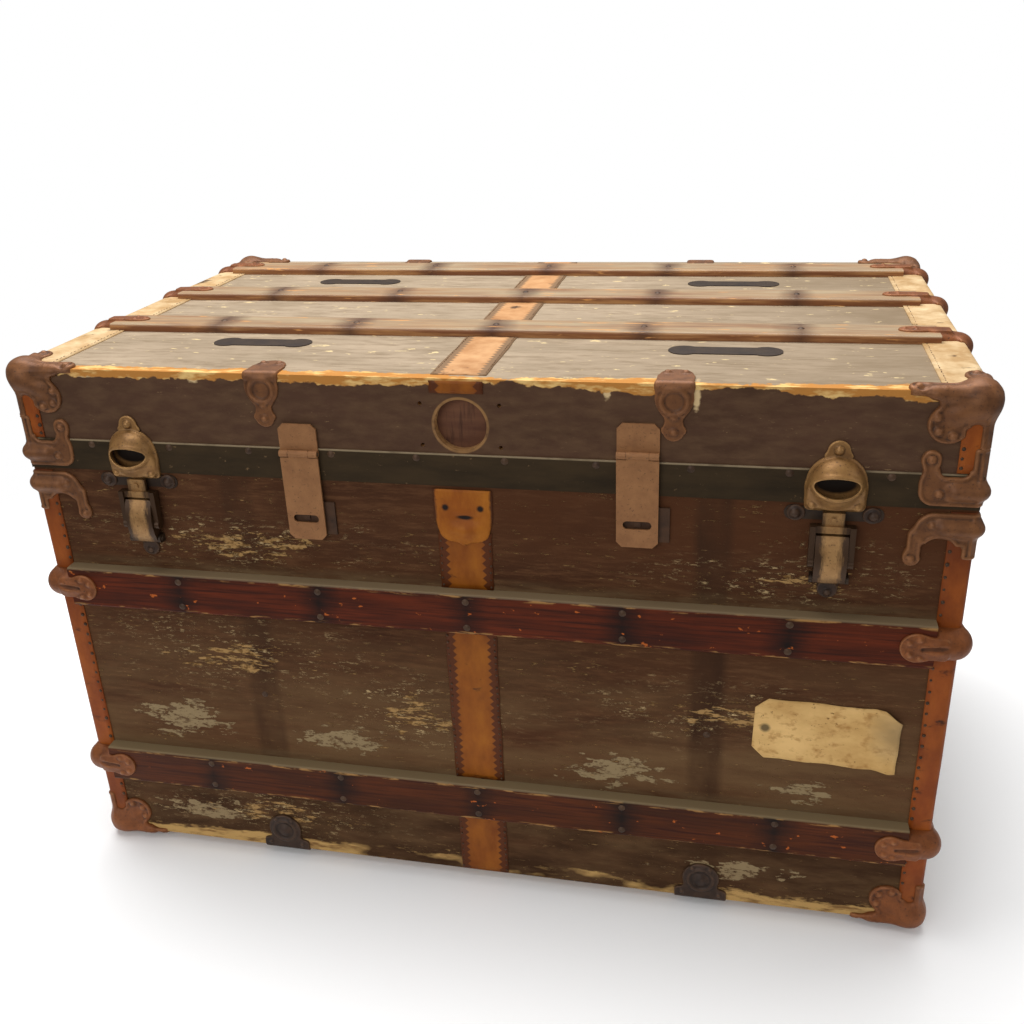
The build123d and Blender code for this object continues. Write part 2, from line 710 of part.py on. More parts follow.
def bottom_spoon(x):
    """A dark iron over the bottom edge of the front."""
    top = up(BOTTOM_SPOON_LENGTH) - BOTTOM_SPOON_RADIUS
    low = FLOOR_OF_BOX - IRON
    face = Pos(x, top) * Circle(BOTTOM_SPOON_RADIUS)
    face += Pos(x, (top + low) / 2) * Rectangle(2 * BOTTOM_SPOON_RADIUS, top - low)
    plate = on_front(face, IRON)
    under = block(
        x - BOTTOM_SPOON_RADIUS,
        x + BOTTOM_SPOON_RADIUS,
        FRONT_Y - IRON,
        FRONT_Y + SPOON_TOP_REACH,
        low,
        FLOOR_OF_BOX,
    )
    return plate + under


def make_edge_irons():
    spoons = [spoon(SPOON_OFFSET_LEFT), spoon(SPOON_OFFSET_RIGHT)]
    write("top_edge_clamps", *spoons, *[to_rear(s) for s in spoons])
    spoons = [bottom_spoon(-BOTTOM_SPOON_OFFSET), bottom_spoon(BOTTOM_SPOON_OFFSET)]
    write("bottom_edge_clamps", *spoons, *[to_rear(s) for s in spoons])


def make_repair_plates():
    """Thin bone-shaped plates nailed flat on the lid."""
    reach = BONE_LENGTH / 2 - BONE_END_RADIUS
    bone = Rectangle(2 * reach, BONE_WAIST)
    bone += Pos(reach, 0) * Circle(BONE_END_RADIUS)
    bone += Pos(-reach, 0) * Circle(BONE_END_RADIUS)
    plate = extrude(bone, amount=BONE_THICK)
    places = []
    for x in (-BONE_OFFSET, BONE_OFFSET):
        for y in (BONE_FRONT_PLACE, BONE_REAR_PLACE):
            places.append(Pos(x, FRONT_Y + y, TOP_Z) * plate)
    write("repair_plates", *places)


# Nails
def make_nails():
    heads = []
    for height in (UPPER_SLAT_HEIGHT, LOWER_SLAT_HEIGHT):
        for x in spread(SLAT_NAIL_COUNT, SLAT_NAIL_PITCH):
            for z in (SLAT_NAIL_INSET, SLAT_WIDTH - SLAT_NAIL_INSET):
                heads.append(front_nail(x, up(height + z), FRONT_SLAT_THICK))
    rivets = []
    for x in (-RIVET_OFFSET, RIVET_OFFSET):
        rivets.append(front_nail(x, up(RIVET_HEIGHT), 0))
    rear = [to_rear(head) for head in heads]
    write("base_nails", *heads, *rivets, *rear)
    heads = []
    for x in spread(BAND_NAIL_COUNT, BAND_NAIL_PITCH):
        heads.append(front_nail(x, LID_Z + BAND_HEIGHT - BAND_NAIL_DROP, BAND_THICK))
    for i in range(TOP_SLAT_COUNT):
        y = FRONT_Y + TOP_SLAT_START + i * TOP_SLAT_PITCH + SLAT_WIDTH / 2
        for x in spread(SLAT_NAIL_COUNT, SLAT_NAIL_PITCH):
            head = dome_head(NAIL_RADIUS, NAIL_HEIGHT)
            heads.append(Pos(x, y, TOP_Z + TOP_SLAT_THICK) * head)
    write("lid_nails", *heads)


# Lid box
def lock_cutter():
    """The lock hole and its four screw holes, through the lid front."""
    hole = Pos(LOCK_OFFSET, up(LOCK_HEIGHT)) * Circle(LOCK_RADIUS)
    for x in (-SCREW_SPACING_X / 2, SCREW_SPACING_X / 2):
        for z in (-SCREW_SPACING_Z / 2, SCREW_SPACING_Z / 2):
            hole += Pos(LOCK_OFFSET + x, up(LOCK_HEIGHT) + z) * Circle(SCREW_RADIUS)
    return extrude(FRONT.offset(CANVAS) * hole, amount=-(2 * CANVAS + LID_BOARD))


def make_lid():
    outer_x = RIGHT_X - CANVAS
    inner_x = outer_x - LID_BOARD
    outer_front = FRONT_Y + CANVAS
    inner_front = outer_front + LID_BOARD
    outer_rear = REAR_Y - CANVAS
    inner_rear = outer_rear - LID_BOARD
    under = TOP_Z - CANVAS
    cutter = lock_cutter()
    front = block(-outer_x, outer_x, outer_front, inner_front, LID_Z, under)
    write("lid_front_board", front - cutter)
    write("lid_rear_board", block(-outer_x, outer_x, inner_rear, outer_rear, LID_Z, under))
    write("lid_left_board", block(-outer_x, -inner_x, inner_front, inner_rear, LID_Z, under))
    write("lid_right_board", block(inner_x, outer_x, inner_front, inner_rear, LID_Z, under))
    top = block(-inner_x, inner_x, inner_front, inner_rear, under - LID_BOARD, under)
    write("lid_top_board", top)
    skin = block(-RIGHT_X, RIGHT_X, FRONT_Y, REAR_Y, LID_Z, TOP_Z)
    hollow = block(-outer_x, outer_x, outer_front, outer_rear, LID_Z - CANVAS, under)
    write("lid_canvas", skin - hollow - cutter)
    band_x = RIGHT_X + BAND_THICK
    band_top = LID_Z + BAND_HEIGHT
    band = block(-band_x, band_x, FRONT_Y - BAND_THICK, REAR_Y + BAND_THICK, LID_Z, band_top)
    hole = block(-RIGHT_X, RIGHT_X, FRONT_Y, REAR_Y, LID_Z - BAND_THICK, band_top + BAND_THICK)
    write("lid_band", band - hole)
    back_x = LOCK_BACK_WIDTH / 2
    back_z = LOCK_BACK_HEIGHT / 2
    middle = up(LOCK_HEIGHT)
    backing = block(
        LOCK_OFFSET - back_x,
        LOCK_OFFSET + back_x,
        inner_front,
        inner_front + LOCK_BACK_THICK,
        middle - back_z,
        middle + back_z,
    )
    write("lock_backing_board", backing)
    for name, i in (("front", 0), ("middle", 1), ("rear", 2)):
        write("top_slat_" + name, top_slat(TOP_SLAT_START + i * TOP_SLAT_PITCH))


# Hasps
def clipped(width, height, clip, at_top):
    """A rectangle from z 0 upwards with two clipped corners."""
    half = width / 2
    if at_top:
        points = [(-half, 0), (half, 0), (half, height - clip), (half - clip, height)]
        points += [(-half + clip, height), (-half, height - clip)]
    else:
        points = [(-half + clip, 0), (half - clip, 0), (half, clip), (half, height)]
        points += [(-half, height), (-half, clip)]
    return Polygon(*points, align=None)


def barrel_segment(radius, bore, x0, x1, y, z):
    """A tube segment of a knuckle along X."""
    length = x1 - x0
    middle = (x0 + x1) / 2
    return rod(radius, length, middle, y, z) - rod(bore, length + 1, middle, y, z)


def make_hasp(side, x, height, lift):
    """One hasp: fixed plate, pin and leaf; lift is what the plate lies on."""
    z = up(height)
    y = FRONT_Y - HASP_AXIS_OUT
    bore = HASP_PIN_RADIUS + PIN_CLEARANCE
    mid = HASP_MIDDLE / 2
    gap = HASP_SEGMENT_GAP
    hole = rod(bore, HASP_WIDTH + 2, x, y, z)
    relief = rod(HASP_BARREL_RADIUS + gap, 2 * (mid + gap), x, y, z)
    face = Pos(x, z) * clipped(HASP_WIDTH, HASP_PLATE_HEIGHT, HASP_CLIP, True)
    plate = on_front(face, HASP_SHEET, lift)
    plate += rod(HASP_BARREL_RADIUS, HASP_WIDTH, x, y, z)
    plate = plate - relief - hole
    pin = rod(HASP_PIN_RADIUS, HASP_WIDTH, x, y, z)
    face = Pos(x, z - HASP_LEAF_LENGTH) * clipped(
        HASP_WIDTH, HASP_LEAF_LENGTH - HASP_BARREL_RADIUS - HASP_LEAF_GAP, HASP_CLIP, False
    )
    face += Pos(x, z - HASP_BARREL_RADIUS) * Rectangle(HASP_MIDDLE, 2 * HASP_BARREL_RADIUS)
    face -= Pos(x, z - HASP_LEAF_LENGTH + SLOT_RISE) * SlotOverall(SLOT_WIDTH, SLOT_HEIGHT)
    leaf = on_front(face, HASP_SHEET, HASP_AXIS_OUT - HASP_SHEET / 2)
    leaf += rod(HASP_BARREL_RADIUS, HASP_MIDDLE, x, y, z)
    write("hasp_leaf_" + side, leaf - hole)
    return plate, pin


def staple(x, height):
    """The plate behind a hasp's slot with the stub of its worn staple."""
    z = up(height - HASP_LEAF_LENGTH + SLOT_RISE)
    half = STAPLE_WIDTH / 2
    middle = x + STAPLE_SHIFT
    low = z - STAPLE_HEIGHT / 2
    plate = front_block(middle - half, middle + half, low, low + STAPLE_HEIGHT, 0, HASP_SHEET)
    out = HASP_AXIS_OUT - HASP_SHEET / 2 - STUB_GAP
    stub_x = x - STUB_WIDTH / 2
    stub = front_block(
        stub_x, stub_x + STUB_WIDTH, z - STUB_DEPTH / 2, z + STUB_DEPTH / 2, 0, out
    )
    return plate + stub


def make_hasps():
    left = make_hasp("left", HASP_LEFT_OFFSET, HASP_LEFT_HEIGHT, BAND_THICK)
    right = make_hasp("right", HASP_RIGHT_OFFSET, HASP_RIGHT_HEIGHT, 0.0)
    write("hasp_plates", left[0], right[0])
    write("hasp_pins", left[1], right[1])
    staples = [staple(HASP_LEFT_OFFSET, HASP_LEFT_HEIGHT)]
    staples.append(staple(HASP_RIGHT_OFFSET, HASP_RIGHT_HEIGHT))
    write("hasp_staples", *staples)


# Draw latches
def latch_dome(x):
    """The hollow dome on the lid with its oval mouth, flange and tab."""
    centre = Pos(x, FRONT_Y + DOME_SINK, up(DOME_HEIGHT))
    seat = BAND_THICK
    outline = Pos(x, (up(FLANGE_BOTTOM) + up(FLANGE_TOP)) / 2) * RectangleRounded(
        FLANGE_WIDTH, FLANGE_TOP - FLANGE_BOTTOM, SLAT_EDGE_RADIUS
    )
    outline += Pos(x, up(DOME_TAB_HEIGHT)) * Circle(DOME_TAB_RADIUS)
    outline += Pos(x, up(FLANGE_TOP)) * Rectangle(DOME_TAB_RADIUS, 2 * DOME_TAB_RADIUS)
    flange = on_front(outline, FLANGE_THICK, seat)
    behind = block(
        x - BOX_WIDTH,
        x + BOX_WIDTH,
        FRONT_Y - seat,
        FRONT_Y + BOX_DEPTH,
        0,
        2 * TOP_Z,
    )
    shell = centre * Sphere(DOME_RADIUS) + flange
    mouth = Pos(x, up(DOME_HEIGHT)) * Ellipse(MOUTH_WIDTH / 2, MOUTH_HEIGHT / 2)
    through = extrude(FRONT.offset(DOME_RADIUS / 2) * mouth, amount=DOME_RADIUS)
    return shell - centre * Sphere(DOME_RADIUS - DOME_WALL) - behind - through


def latch_plate(x):
    """The base plate with two wings, a spine, a round foot and two lugs."""
    z_wing = up(WING_HEIGHT)
    z_foot = up(FOOT_HEIGHT)
    outline = Pos(x, z_wing) * Rectangle(2 * WING_REACH, 2 * WING_RADIUS - 2)
    for reach in (-WING_REACH, WING_REACH):
        outline += Pos(x + reach, z_wing) * Circle(WING_RADIUS)
    outline += Pos(x, (z_wing + z_foot) / 2) * Rectangle(SPINE_WIDTH, z_wing - z_foot)
    outline += Pos(x, z_foot) * Circle(FOOT_RADIUS)
    lug_x = LEVER_WIDTH / 2 + LATCH_SIDE_GAP
    z_axis = up(LEVER_AXIS_HEIGHT)
    outline += Pos(x, z_axis) * Rectangle(2 * (lug_x + LUG_THICK), 2 * LUG_RADIUS)
    plate = on_front(outline, WING_THICK)
    hole = rod(LEVER_PIN_RADIUS + PIN_CLEARANCE, 2 * LEVER_WIDTH, x, FRONT_Y - LEVER_AXIS_OUT, z_axis)
    for side in (-1, 1):
        x0 = x + side * lug_x
        x1 = x0 + side * LUG_THICK
        lug = front_block(
            min(x0, x1), max(x0, x1), z_axis - LUG_RADIUS, z_axis + LUG_RADIUS, 0, LEVER_AXIS_OUT
        )
        lug += rod(LUG_RADIUS, LUG_THICK, (x0 + x1) / 2, FRONT_Y - LEVER_AXIS_OUT, z_axis)
        plate += lug
    return plate - hole


def latch_lever(x):
    """The bulged lever, on its cross pin, with the stub axle for the fork."""
    axis_y = FRONT_Y - LEVER_AXIS_OUT
    z_axis = up(LEVER_AXIS_HEIGHT)
    back_y = FRONT_Y - LEVER_BACK_OUT
    low = (axis_y - LUG_RADIUS, z_axis)
    top = (FRONT_Y - LEVER_TOP_OUT, up(LEVER_TOP))
    belly = (FRONT_Y - LEVER_BULGE_OUT, (z_axis + up(LEVER_TOP)) / 2)
    outline = [
        ThreePointArc(low, belly, top),
        Line(top, (back_y, up(LEVER_TOP))),
        Line((back_y, up(LEVER_TOP)), (back_y, z_axis)),
        Line((back_y, z_axis), low),
    ]
    side = Plane(origin=(x - LEVER_WIDTH / 2, 0, 0), x_dir=(0, 1, 0), z_dir=(1, 0, 0))
    body = extrude(side * make_face(outline), amount=LEVER_WIDTH)
    body += rod(LUG_RADIUS, LEVER_WIDTH, x, axis_y, z_axis)
    body -= rod(LEVER_PIN_RADIUS + PIN_CLEARANCE, LEVER_WIDTH + 2, x, axis_y, z_axis)
    axle = 2 * (LEVER_WIDTH / 2 + LATCH_SIDE_GAP + LINK_CHEEK)
    body += rod(LINK_PIN_RADIUS, axle, x, FRONT_Y - LINK_AXIS_OUT, up(LINK_AXIS_HEIGHT))
    return body


def latch_link(x):
    """The fork round the lever, with its tongue and square rivet."""
    inner = LEVER_WIDTH / 2 + LATCH_SIDE_GAP
    outer = inner + LINK_CHEEK
    z_pin = up(LINK_AXIS_HEIGHT)
    y_pin = FRONT_Y - LINK_AXIS_OUT
    body = front_block(
        x - outer, x + outer, up(LINK_BAR_BOTTOM), up(LINK_BAR_TOP), LINK_BACK_OUT, LINK_FRONT_OUT
    )
    for side in (-1, 1):
        x0 = x + side * inner
        x1 = x + side * outer
        cheek = front_block(
            min(x0, x1),
            max(x0, x1),
            z_pin,
            up(LINK_BAR_TOP),
            LINK_CHEEK_BACK_OUT,
            LINK_CHEEK_FRONT_OUT,
        )
        cheek += rod(LINK_CHEEK_RADIUS, LINK_CHEEK, (x0 + x1) / 2, y_pin, z_pin)
        body += cheek
    half = TONGUE_WIDTH / 2
    body += front_block(
        x - half, x + half, up(LINK_BAR_BOTTOM), up(TONGUE_TOP), TONGUE_BACK_OUT, TONGUE_FRONT_OUT
    )
    head = Pos(x, up((LINK_BAR_TOP + TONGUE_TOP) / 2)) * Rectangle(TONGUE_RIVET, TONGUE_RIVET)
    body += on_front(head, NAIL_HEIGHT, TONGUE_FRONT_OUT)
    return body - rod(LINK_PIN_RADIUS + PIN_CLEARANCE, 2 * outer + 2, x, y_pin, z_pin)


def make_latches():
    places = (("left", -RIGHT_X + LATCH_INSET), ("right", RIGHT_X - LATCH_INSET))
    domes = []
    plates = []
    pins = []
    for side, x in places:
        domes.append(latch_dome(x))
        plates.append(latch_plate(x))
        length = LEVER_WIDTH + 2 * (LATCH_SIDE_GAP + LUG_THICK)
        y = FRONT_Y - LEVER_AXIS_OUT
        pins.append(rod(LEVER_PIN_RADIUS, length, x, y, up(LEVER_AXIS_HEIGHT)))
        write("latch_lever_" + side, latch_lever(x))
        write("latch_link_" + side, latch_link(x))
    write("latch_domes", *domes)
    write("latch_plates", *plates)
    write("latch_pins", *pins)


# Rear hinges
def hinge(x):
    """Base leaf, lid leaf and pin, made at the front and turned round."""
    z = JOINT_Z + JOINT_GAP / 2
    y = FRONT_Y - HINGE_AXIS_OUT
    half = HINGE_WIDTH / 2
    mid = HINGE_MIDDLE / 2
    gap = HINGE_SEGMENT_GAP
    radius = HINGE_BARREL_RADIUS
    bore = rod(HINGE_PIN_RADIUS + PIN_CLEARANCE, HINGE_WIDTH + 2, x, y, z)
    base = front_block(x - half, x + half, JOINT_Z - HINGE_LEAF, JOINT_Z, 0, HINGE_SHEET)
    lid = front_block(
        x - half, x + half, LID_Z, LID_Z + HINGE_LEAF, BAND_THICK, BAND_THICK + HINGE_SHEET
    )
    middle = rod(radius, HINGE_MIDDLE, x, y, z)
    middle_room = rod(radius + gap, HINGE_MIDDLE + 2 * gap, x, y, z)
    ends = rod(radius, HINGE_WIDTH, x, y, z) - middle_room
    ends_room = rod(radius + gap, HINGE_WIDTH + 2, x, y, z)
    ends_room -= rod(radius + 2 * gap, HINGE_MIDDLE, x, y, z)
    arm = front_block(x - mid, x + mid, z, z + radius, BAND_THICK, HINGE_AXIS_OUT)
    foot_x = x - half
    foot = front_block(foot_x, foot_x + half - mid - gap, z - radius, z, 0, HINGE_AXIS_OUT)
    foot += front_block(x + mid + gap, x + half, z - radius, z, 0, HINGE_AXIS_OUT)
    above = front_block(x - HINGE_WIDTH, x + HINGE_WIDTH, JOINT_Z, TOP_Z, -BOARD, HINGE_AXIS_OUT - radius)
    foot -= above
    base = (base - middle_room) + ends + foot - bore
    lid = (lid - ends_room) + middle + arm - bore
    pin = rod(HINGE_PIN_RADIUS, HINGE_WIDTH, x, y, z)
    return to_rear(base), to_rear(lid), to_rear(pin)


def make_hinges():
    sets = [hinge(x) for x in spread(HINGE_COUNT, HINGE_OFFSET)]
    write("hinge_base_leaves", *[s[0] for s in sets])
    write("hinge_lid_leaves", *[s[1] for s in sets])
    write("hinge_pins", *[s[2] for s in sets])


# End handles
def handle():
    """The leather handle on the right end, bowed out between its feet."""
    half = HANDLE_SPAN / 2
    outer = ThreePointArc(
        (RIGHT_X + HANDLE_THICK, MID_Y - half),
        (RIGHT_X + HANDLE_RISE, MID_Y),
        (RIGHT_X + HANDLE_THICK, MID_Y + half),
    )
    inner_half = half - HANDLE_THICK
    inner = ThreePointArc(
        (RIGHT_X, MID_Y + inner_half),
        (RIGHT_X + HANDLE_RISE - HANDLE_THICK, MID_Y),
        (RIGHT_X, MID_Y - inner_half),
    )
    upper = Polyline(outer @ 1, (RIGHT_X, MID_Y + half), inner @ 0)
    lower = Polyline(inner @ 1, (RIGHT_X, MID_Y - half), outer @ 0)
    bow = make_face([outer, upper, inner, lower])
    for side in (-1, 1):
        middle = MID_Y + side * (half + HANDLE_FOOT / 2 - HANDLE_THICK / 2)
        foot = Pos(RIGHT_X + HANDLE_THICK / 2, middle)
        bow += foot * Rectangle(HANDLE_THICK, HANDLE_FOOT + HANDLE_THICK)
    z0 = up(HANDLE_HEIGHT) - HANDLE_WIDTH / 2
    return Pos(0, 0, z0) * extrude(bow, amount=HANDLE_WIDTH)


def handle_cap(side, strap):
    """The iron cap over one foot of the right handle."""
    y_in = MID_Y + side * (HANDLE_SPAN / 2 + HANDLE_THICK / 2)
    y_out = MID_Y + side * (HANDLE_SPAN / 2 + HANDLE_FOOT + CAP_IRON_END)
    half = HANDLE_WIDTH / 2 + CAP_IRON_SIDE
    z = up(HANDLE_HEIGHT)
    out = RIGHT_X + HANDLE_THICK + CAP_IRON_COVER
    body = block(RIGHT_X, out, min(y_in, y_out), max(y_in, y_out), z - half, z + half)
    rim = body.faces().sort_by(Axis.X)[-1].edges()
    body = fillet(rim, HANDLE_CAP_FILLET)
    return body - strap


def make_handles():
    strap = handle()
    write("handle_right", strap)
    write("handle_left", to_left(strap))
    caps = [handle_cap(-1, strap), handle_cap(1, strap)]
    write("handle_caps", *caps, *[to_left(cap) for cap in caps])


def make_label():
    """A bare paper tag with clipped corners at its left."""
    half = LABEL_WIDTH / 2
    rise = LABEL_HEIGHT / 2
    clip = LABEL_CLIP
    outline = Polygon(
        (-half + clip, -rise),
        (half, -rise),
        (half, rise),
        (-half + clip, rise),
        (-half, rise - clip),
        (-half, -rise + clip),
        align=None,
    )
    place = Pos(RIGHT_X - LABEL_CENTRE_INSET, up(LABEL_CENTRE_HEIGHT))
    write("address_label", on_front(place * outline, LABEL_THICK))


# Tray
def make_tray():
    x = INNER_X - LIP_THICK - TRAY_SIDE_GAP
    y0 = INNER_FRONT_Y + LIP_THICK + TRAY_SIDE_GAP
    y1 = INNER_REAR_Y - LIP_THICK - TRAY_SIDE_GAP
    z1 = JOINT_Z - TRAY_BELOW_JOINT
    z0 = z1 - TRAY_HEIGHT
    outside = block(-x, x, y0, y1, z0, z1)
    inside = block(
        -x + TRAY_WALL, x - TRAY_WALL, y0 + TRAY_WALL, y1 - TRAY_WALL, z0 + TRAY_FLOOR, z1 + 1
    )
    write("tray", outside - inside)
    wall = TRAY_DIVIDER_PLACE
    divider = block(
        wall, wall + TRAY_DIVIDER, y0 + TRAY_WALL, y1 - TRAY_WALL, z0 + TRAY_FLOOR, z1 - TRAY_WALL
    )
    write("tray_divider", divider)
    tape_x = x - TRAY_WALL
    half = TAPE_WIDTH / 2
    tape = block(
        tape_x - TAPE_THICK, tape_x, MID_Y - half, MID_Y + half, z1 - TAPE_LENGTH, z1
    )
    write("tray_tapes", tape, to_left(tape))
    seat = z0 - TRAY_SEAT_GAP
    cleat = block(
        INNER_X - RUNNER_SIDE, INNER_X, INNER_FRONT_Y, INNER_REAR_Y, seat - RUNNER_HEIGHT, seat
    )
    write("tray_runners", cleat, to_left(cleat))


def main():
    os.makedirs("parts", exist_ok=True)
    make_base()
    make_lip()
    make_slats()
    make_slat_caps()
    make_bindings()
    make_straps()
    make_three_way_corners()
    make_joint_irons()
    make_edge_irons()
    make_repair_plates()
    make_nails()
    make_lid()
    make_hasps()
    make_latches()
    make_hinges()
    make_handles()
    make_label()
    make_tray()


main()
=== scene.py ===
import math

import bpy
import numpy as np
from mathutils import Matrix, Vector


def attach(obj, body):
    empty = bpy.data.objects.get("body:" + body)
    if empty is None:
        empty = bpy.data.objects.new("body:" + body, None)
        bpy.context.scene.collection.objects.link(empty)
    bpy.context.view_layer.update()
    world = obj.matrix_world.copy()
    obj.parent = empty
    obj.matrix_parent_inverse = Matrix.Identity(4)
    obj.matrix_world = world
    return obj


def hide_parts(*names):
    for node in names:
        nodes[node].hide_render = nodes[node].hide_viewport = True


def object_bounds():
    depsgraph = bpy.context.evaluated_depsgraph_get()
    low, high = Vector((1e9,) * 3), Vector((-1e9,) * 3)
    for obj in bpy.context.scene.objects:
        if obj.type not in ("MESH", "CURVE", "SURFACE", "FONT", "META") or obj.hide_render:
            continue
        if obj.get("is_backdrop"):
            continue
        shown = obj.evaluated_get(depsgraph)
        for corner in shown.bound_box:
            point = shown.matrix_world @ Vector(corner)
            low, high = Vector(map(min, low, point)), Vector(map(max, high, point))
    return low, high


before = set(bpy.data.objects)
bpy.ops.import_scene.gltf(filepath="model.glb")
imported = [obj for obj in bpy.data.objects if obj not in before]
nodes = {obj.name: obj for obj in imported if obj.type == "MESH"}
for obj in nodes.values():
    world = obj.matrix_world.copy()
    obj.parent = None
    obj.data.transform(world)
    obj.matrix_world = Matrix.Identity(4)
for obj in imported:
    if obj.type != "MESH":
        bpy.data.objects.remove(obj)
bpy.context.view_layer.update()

# %% [markdown]
# # A travel trunk with pressed irons, slats and draw latches
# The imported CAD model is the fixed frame: bodies, joints and flat parts come from it.
# Here the same trunk gets its real look. Flat boards, slats and skins keep their CAD
# shape and take procedural finishes. Pressed irons and leather are made again, because
# their soft shapes are what the eye reads first on an old trunk.

MM = 0.001
scene = bpy.context.scene

# %% [markdown]
# ## Places shared by all pieces
# The trunk stands with its front towards -Y. The pieces below are made in real
# millimetres from these few planes, so that each one lies on the board that carries it.

# %% Planes of the box, in millimetres
RIGHT = 450.0
FRONT = -267.5
REAR = 272.5
BOTTOM = 9.0
JOINT = 467.0
LID = 467.4
TOP = 571.0
MIDDLE = (FRONT + REAR) / 2
UPPER_SLAT = (316.0, 360.0)
LOWER_SLAT = (90.0, 134.0)
SLAT_OUT = 14.0
TOP_SLATS = [(FRONT + y, FRONT + y + 44.0) for y in (144.0, 296.0, 448.0)]
TOP_SLAT_OUT = 8.0
LATCH_X = 333.5
DOME_Z = 487.5
BAND_TOP = 498.0
LOCK_X, LOCK_Z, LOCK_RIM = 2.0, TOP - 44.0, 26.9
LONE_RIVET_X = 232.0
STRAP_HALF = 26.0
HANDLE_Z = 309.0
FIRST_NAIL, NAIL_PITCH = -303.0, 151.5
print("box", 2 * RIGHT, REAR - FRONT, TOP - BOTTOM)

# %% [markdown]
# ## Colours and the node helper
# Colours are written as they look on a screen and turned into linear light once. Every
# shader below is made with one helper that adds a node, fills its inputs and sets its
# options, so that a finish reads as a short list of what was done to the surface.

# %% Colour and node helpers
def linear(code):
    """A screen colour such as 4a3828 as linear red, green, blue and alpha."""
    parts = [int(code[i:i + 2], 16) / 255 for i in (0, 2, 4)]
    parts = [p / 12.92 if p <= 0.04045 else ((p + 0.055) / 1.055) ** 2.4 for p in parts]
    return (*parts, 1.0)


MATH, VECTOR, RANGE = "ShaderNodeMath", "ShaderNodeVectorMath", "ShaderNodeMapRange"


def add(tree, kind, inputs=(), **options):
    """Add a node. Inputs are a tuple in socket order, or a dictionary by name or number.

    An input is a value, a socket, or a node, whose first output is used."""
    node = tree.nodes.new(kind)
    for key, value in options.items():
        setattr(node, key, value)
    for key, value in inputs.items() if isinstance(inputs, dict) else enumerate(inputs):
        socket = node.inputs[key]
        if isinstance(value, bpy.types.Node):
            value = value.outputs[0]
        if isinstance(value, bpy.types.NodeSocket):
            tree.links.new(value, socket)
        else:
            socket.default_value = value
    return node


def patches(tree, size, share, soft=0.05, seed=0.0, detail=4.0, rough=0.6):
    """A ragged mask over about this share of the surface. Size is in millimetres."""
    place = add(tree, "ShaderNodeTexCoord")
    scale = tuple(1.0 / (s * MM) for s in size)
    spread = add(tree, VECTOR, (place.outputs["Object"], scale), operation="MULTIPLY")
    moved = add(tree, VECTOR, (spread, (seed * 7.3, seed * 3.1, seed)), operation="ADD")
    cloud = add(tree, "ShaderNodeTexNoise", {"Vector": moved, "Scale": 1.0, "Detail": detail,
                                             "Roughness": rough})
    middle = 0.5 + (0.5 - share) * 0.42
    return step(tree, cloud, middle - soft, middle + soft)


def stain(tree, centre, radii, ragged=0.5, size=12.0, soft=0.25, seed=1.0):
    """A ragged blot about a point, in millimetres, 1 in the middle and 0 outside."""
    place = add(tree, "ShaderNodeTexCoord")
    away = add(tree, VECTOR, (place.outputs["Object"], tuple(c * MM for c in centre)),
               operation="SUBTRACT")
    inside = add(tree, VECTOR, (away, tuple(1 / (r * MM) for r in radii)), operation="MULTIPLY")
    length = add(tree, VECTOR, (inside,), operation="LENGTH")
    rough = patches(tree, (size * 2.5, size * 2.5, size), 0.5, 0.35, seed)
    worn = add(tree, MATH, (rough, ragged, length.outputs["Value"]), operation="MULTIPLY_ADD")
    return step(tree, worn, 1.0 + soft, 1.0 - soft)


def along(tree, axis):
    """One object coordinate, 0 to 2 for X to Z, in millimetres."""
    place = add(tree, "ShaderNodeTexCoord")
    parts = add(tree, "ShaderNodeSeparateXYZ", {0: place.outputs["Object"]})
    return add(tree, MATH, (parts.outputs[axis], MM), operation="DIVIDE")


def step(tree, value, start, end):
    """A ramp from 0 at start to 1 at end, flat beyond them."""
    return add(tree, RANGE, {"Value": value, "From Min": start, "From Max": end})


def both(tree, *masks, operation="MULTIPLY"):
    """Where all the masks hold."""
    now = masks[0]
    for mask in masks[1:]:
        now = add(tree, MATH, (now, mask), operation=operation)
    return now


def either(tree, *masks):
    """Where any of the masks holds."""
    return both(tree, *masks, operation="MAXIMUM")


def made(tree, mask):
    """A mask from a function of the tree, from the values of patches, or a list of these."""
    if callable(mask):
        return mask(tree)
    if isinstance(mask, list):
        return both(tree, *[made(tree, part) for part in mask])
    return patches(tree, *mask)


def finish(name, slot, base, layers, rough=0.75, metal=0.0, relief=(), coat=0.0, gloss=0.25):
    """A material: base colour, layers of (mask, colour), and relief as (mask, millimetres).

    Each layer lies over those before it, so a finish reads in the order of its making."""
    material = bpy.data.materials.new(name)
    material.use_nodes = True
    tree = material.node_tree
    shader = tree.nodes["Principled BSDF"]
    colour = add(tree, "ShaderNodeRGB")
    colour.outputs[0].default_value = linear(base)
    now = colour.outputs[0]
    for mask, code in layers:
        mixed = add(tree, "ShaderNodeMix", {0: made(tree, mask)}, data_type="RGBA")
        tree.links.new(now, mixed.inputs[6])
        mixed.inputs[7].default_value = linear(code)
        now = mixed.outputs[2]
    tree.links.new(now, shader.inputs["Base Color"])
    shader.inputs["Roughness"].default_value = rough
    shader.inputs["Metallic"].default_value = metal
    shader.inputs["Coat Weight"].default_value = coat
    shader.inputs["Specular IOR Level"].default_value = gloss
    height = None
    for mask, millimetres in relief:
        part = add(tree, MATH, (made(tree, mask), millimetres), operation="MULTIPLY")
        height = part if height is None else add(tree, MATH, (height, part), operation="ADD")
    if height is not None:
        bump = add(tree, "ShaderNodeBump", {"Height": height, "Distance": MM, "Strength": 1.0})
        tree.links.new(bump.outputs[0], shader.inputs["Normal"])
    material["slot"] = slot
    return material


print("helpers ready")

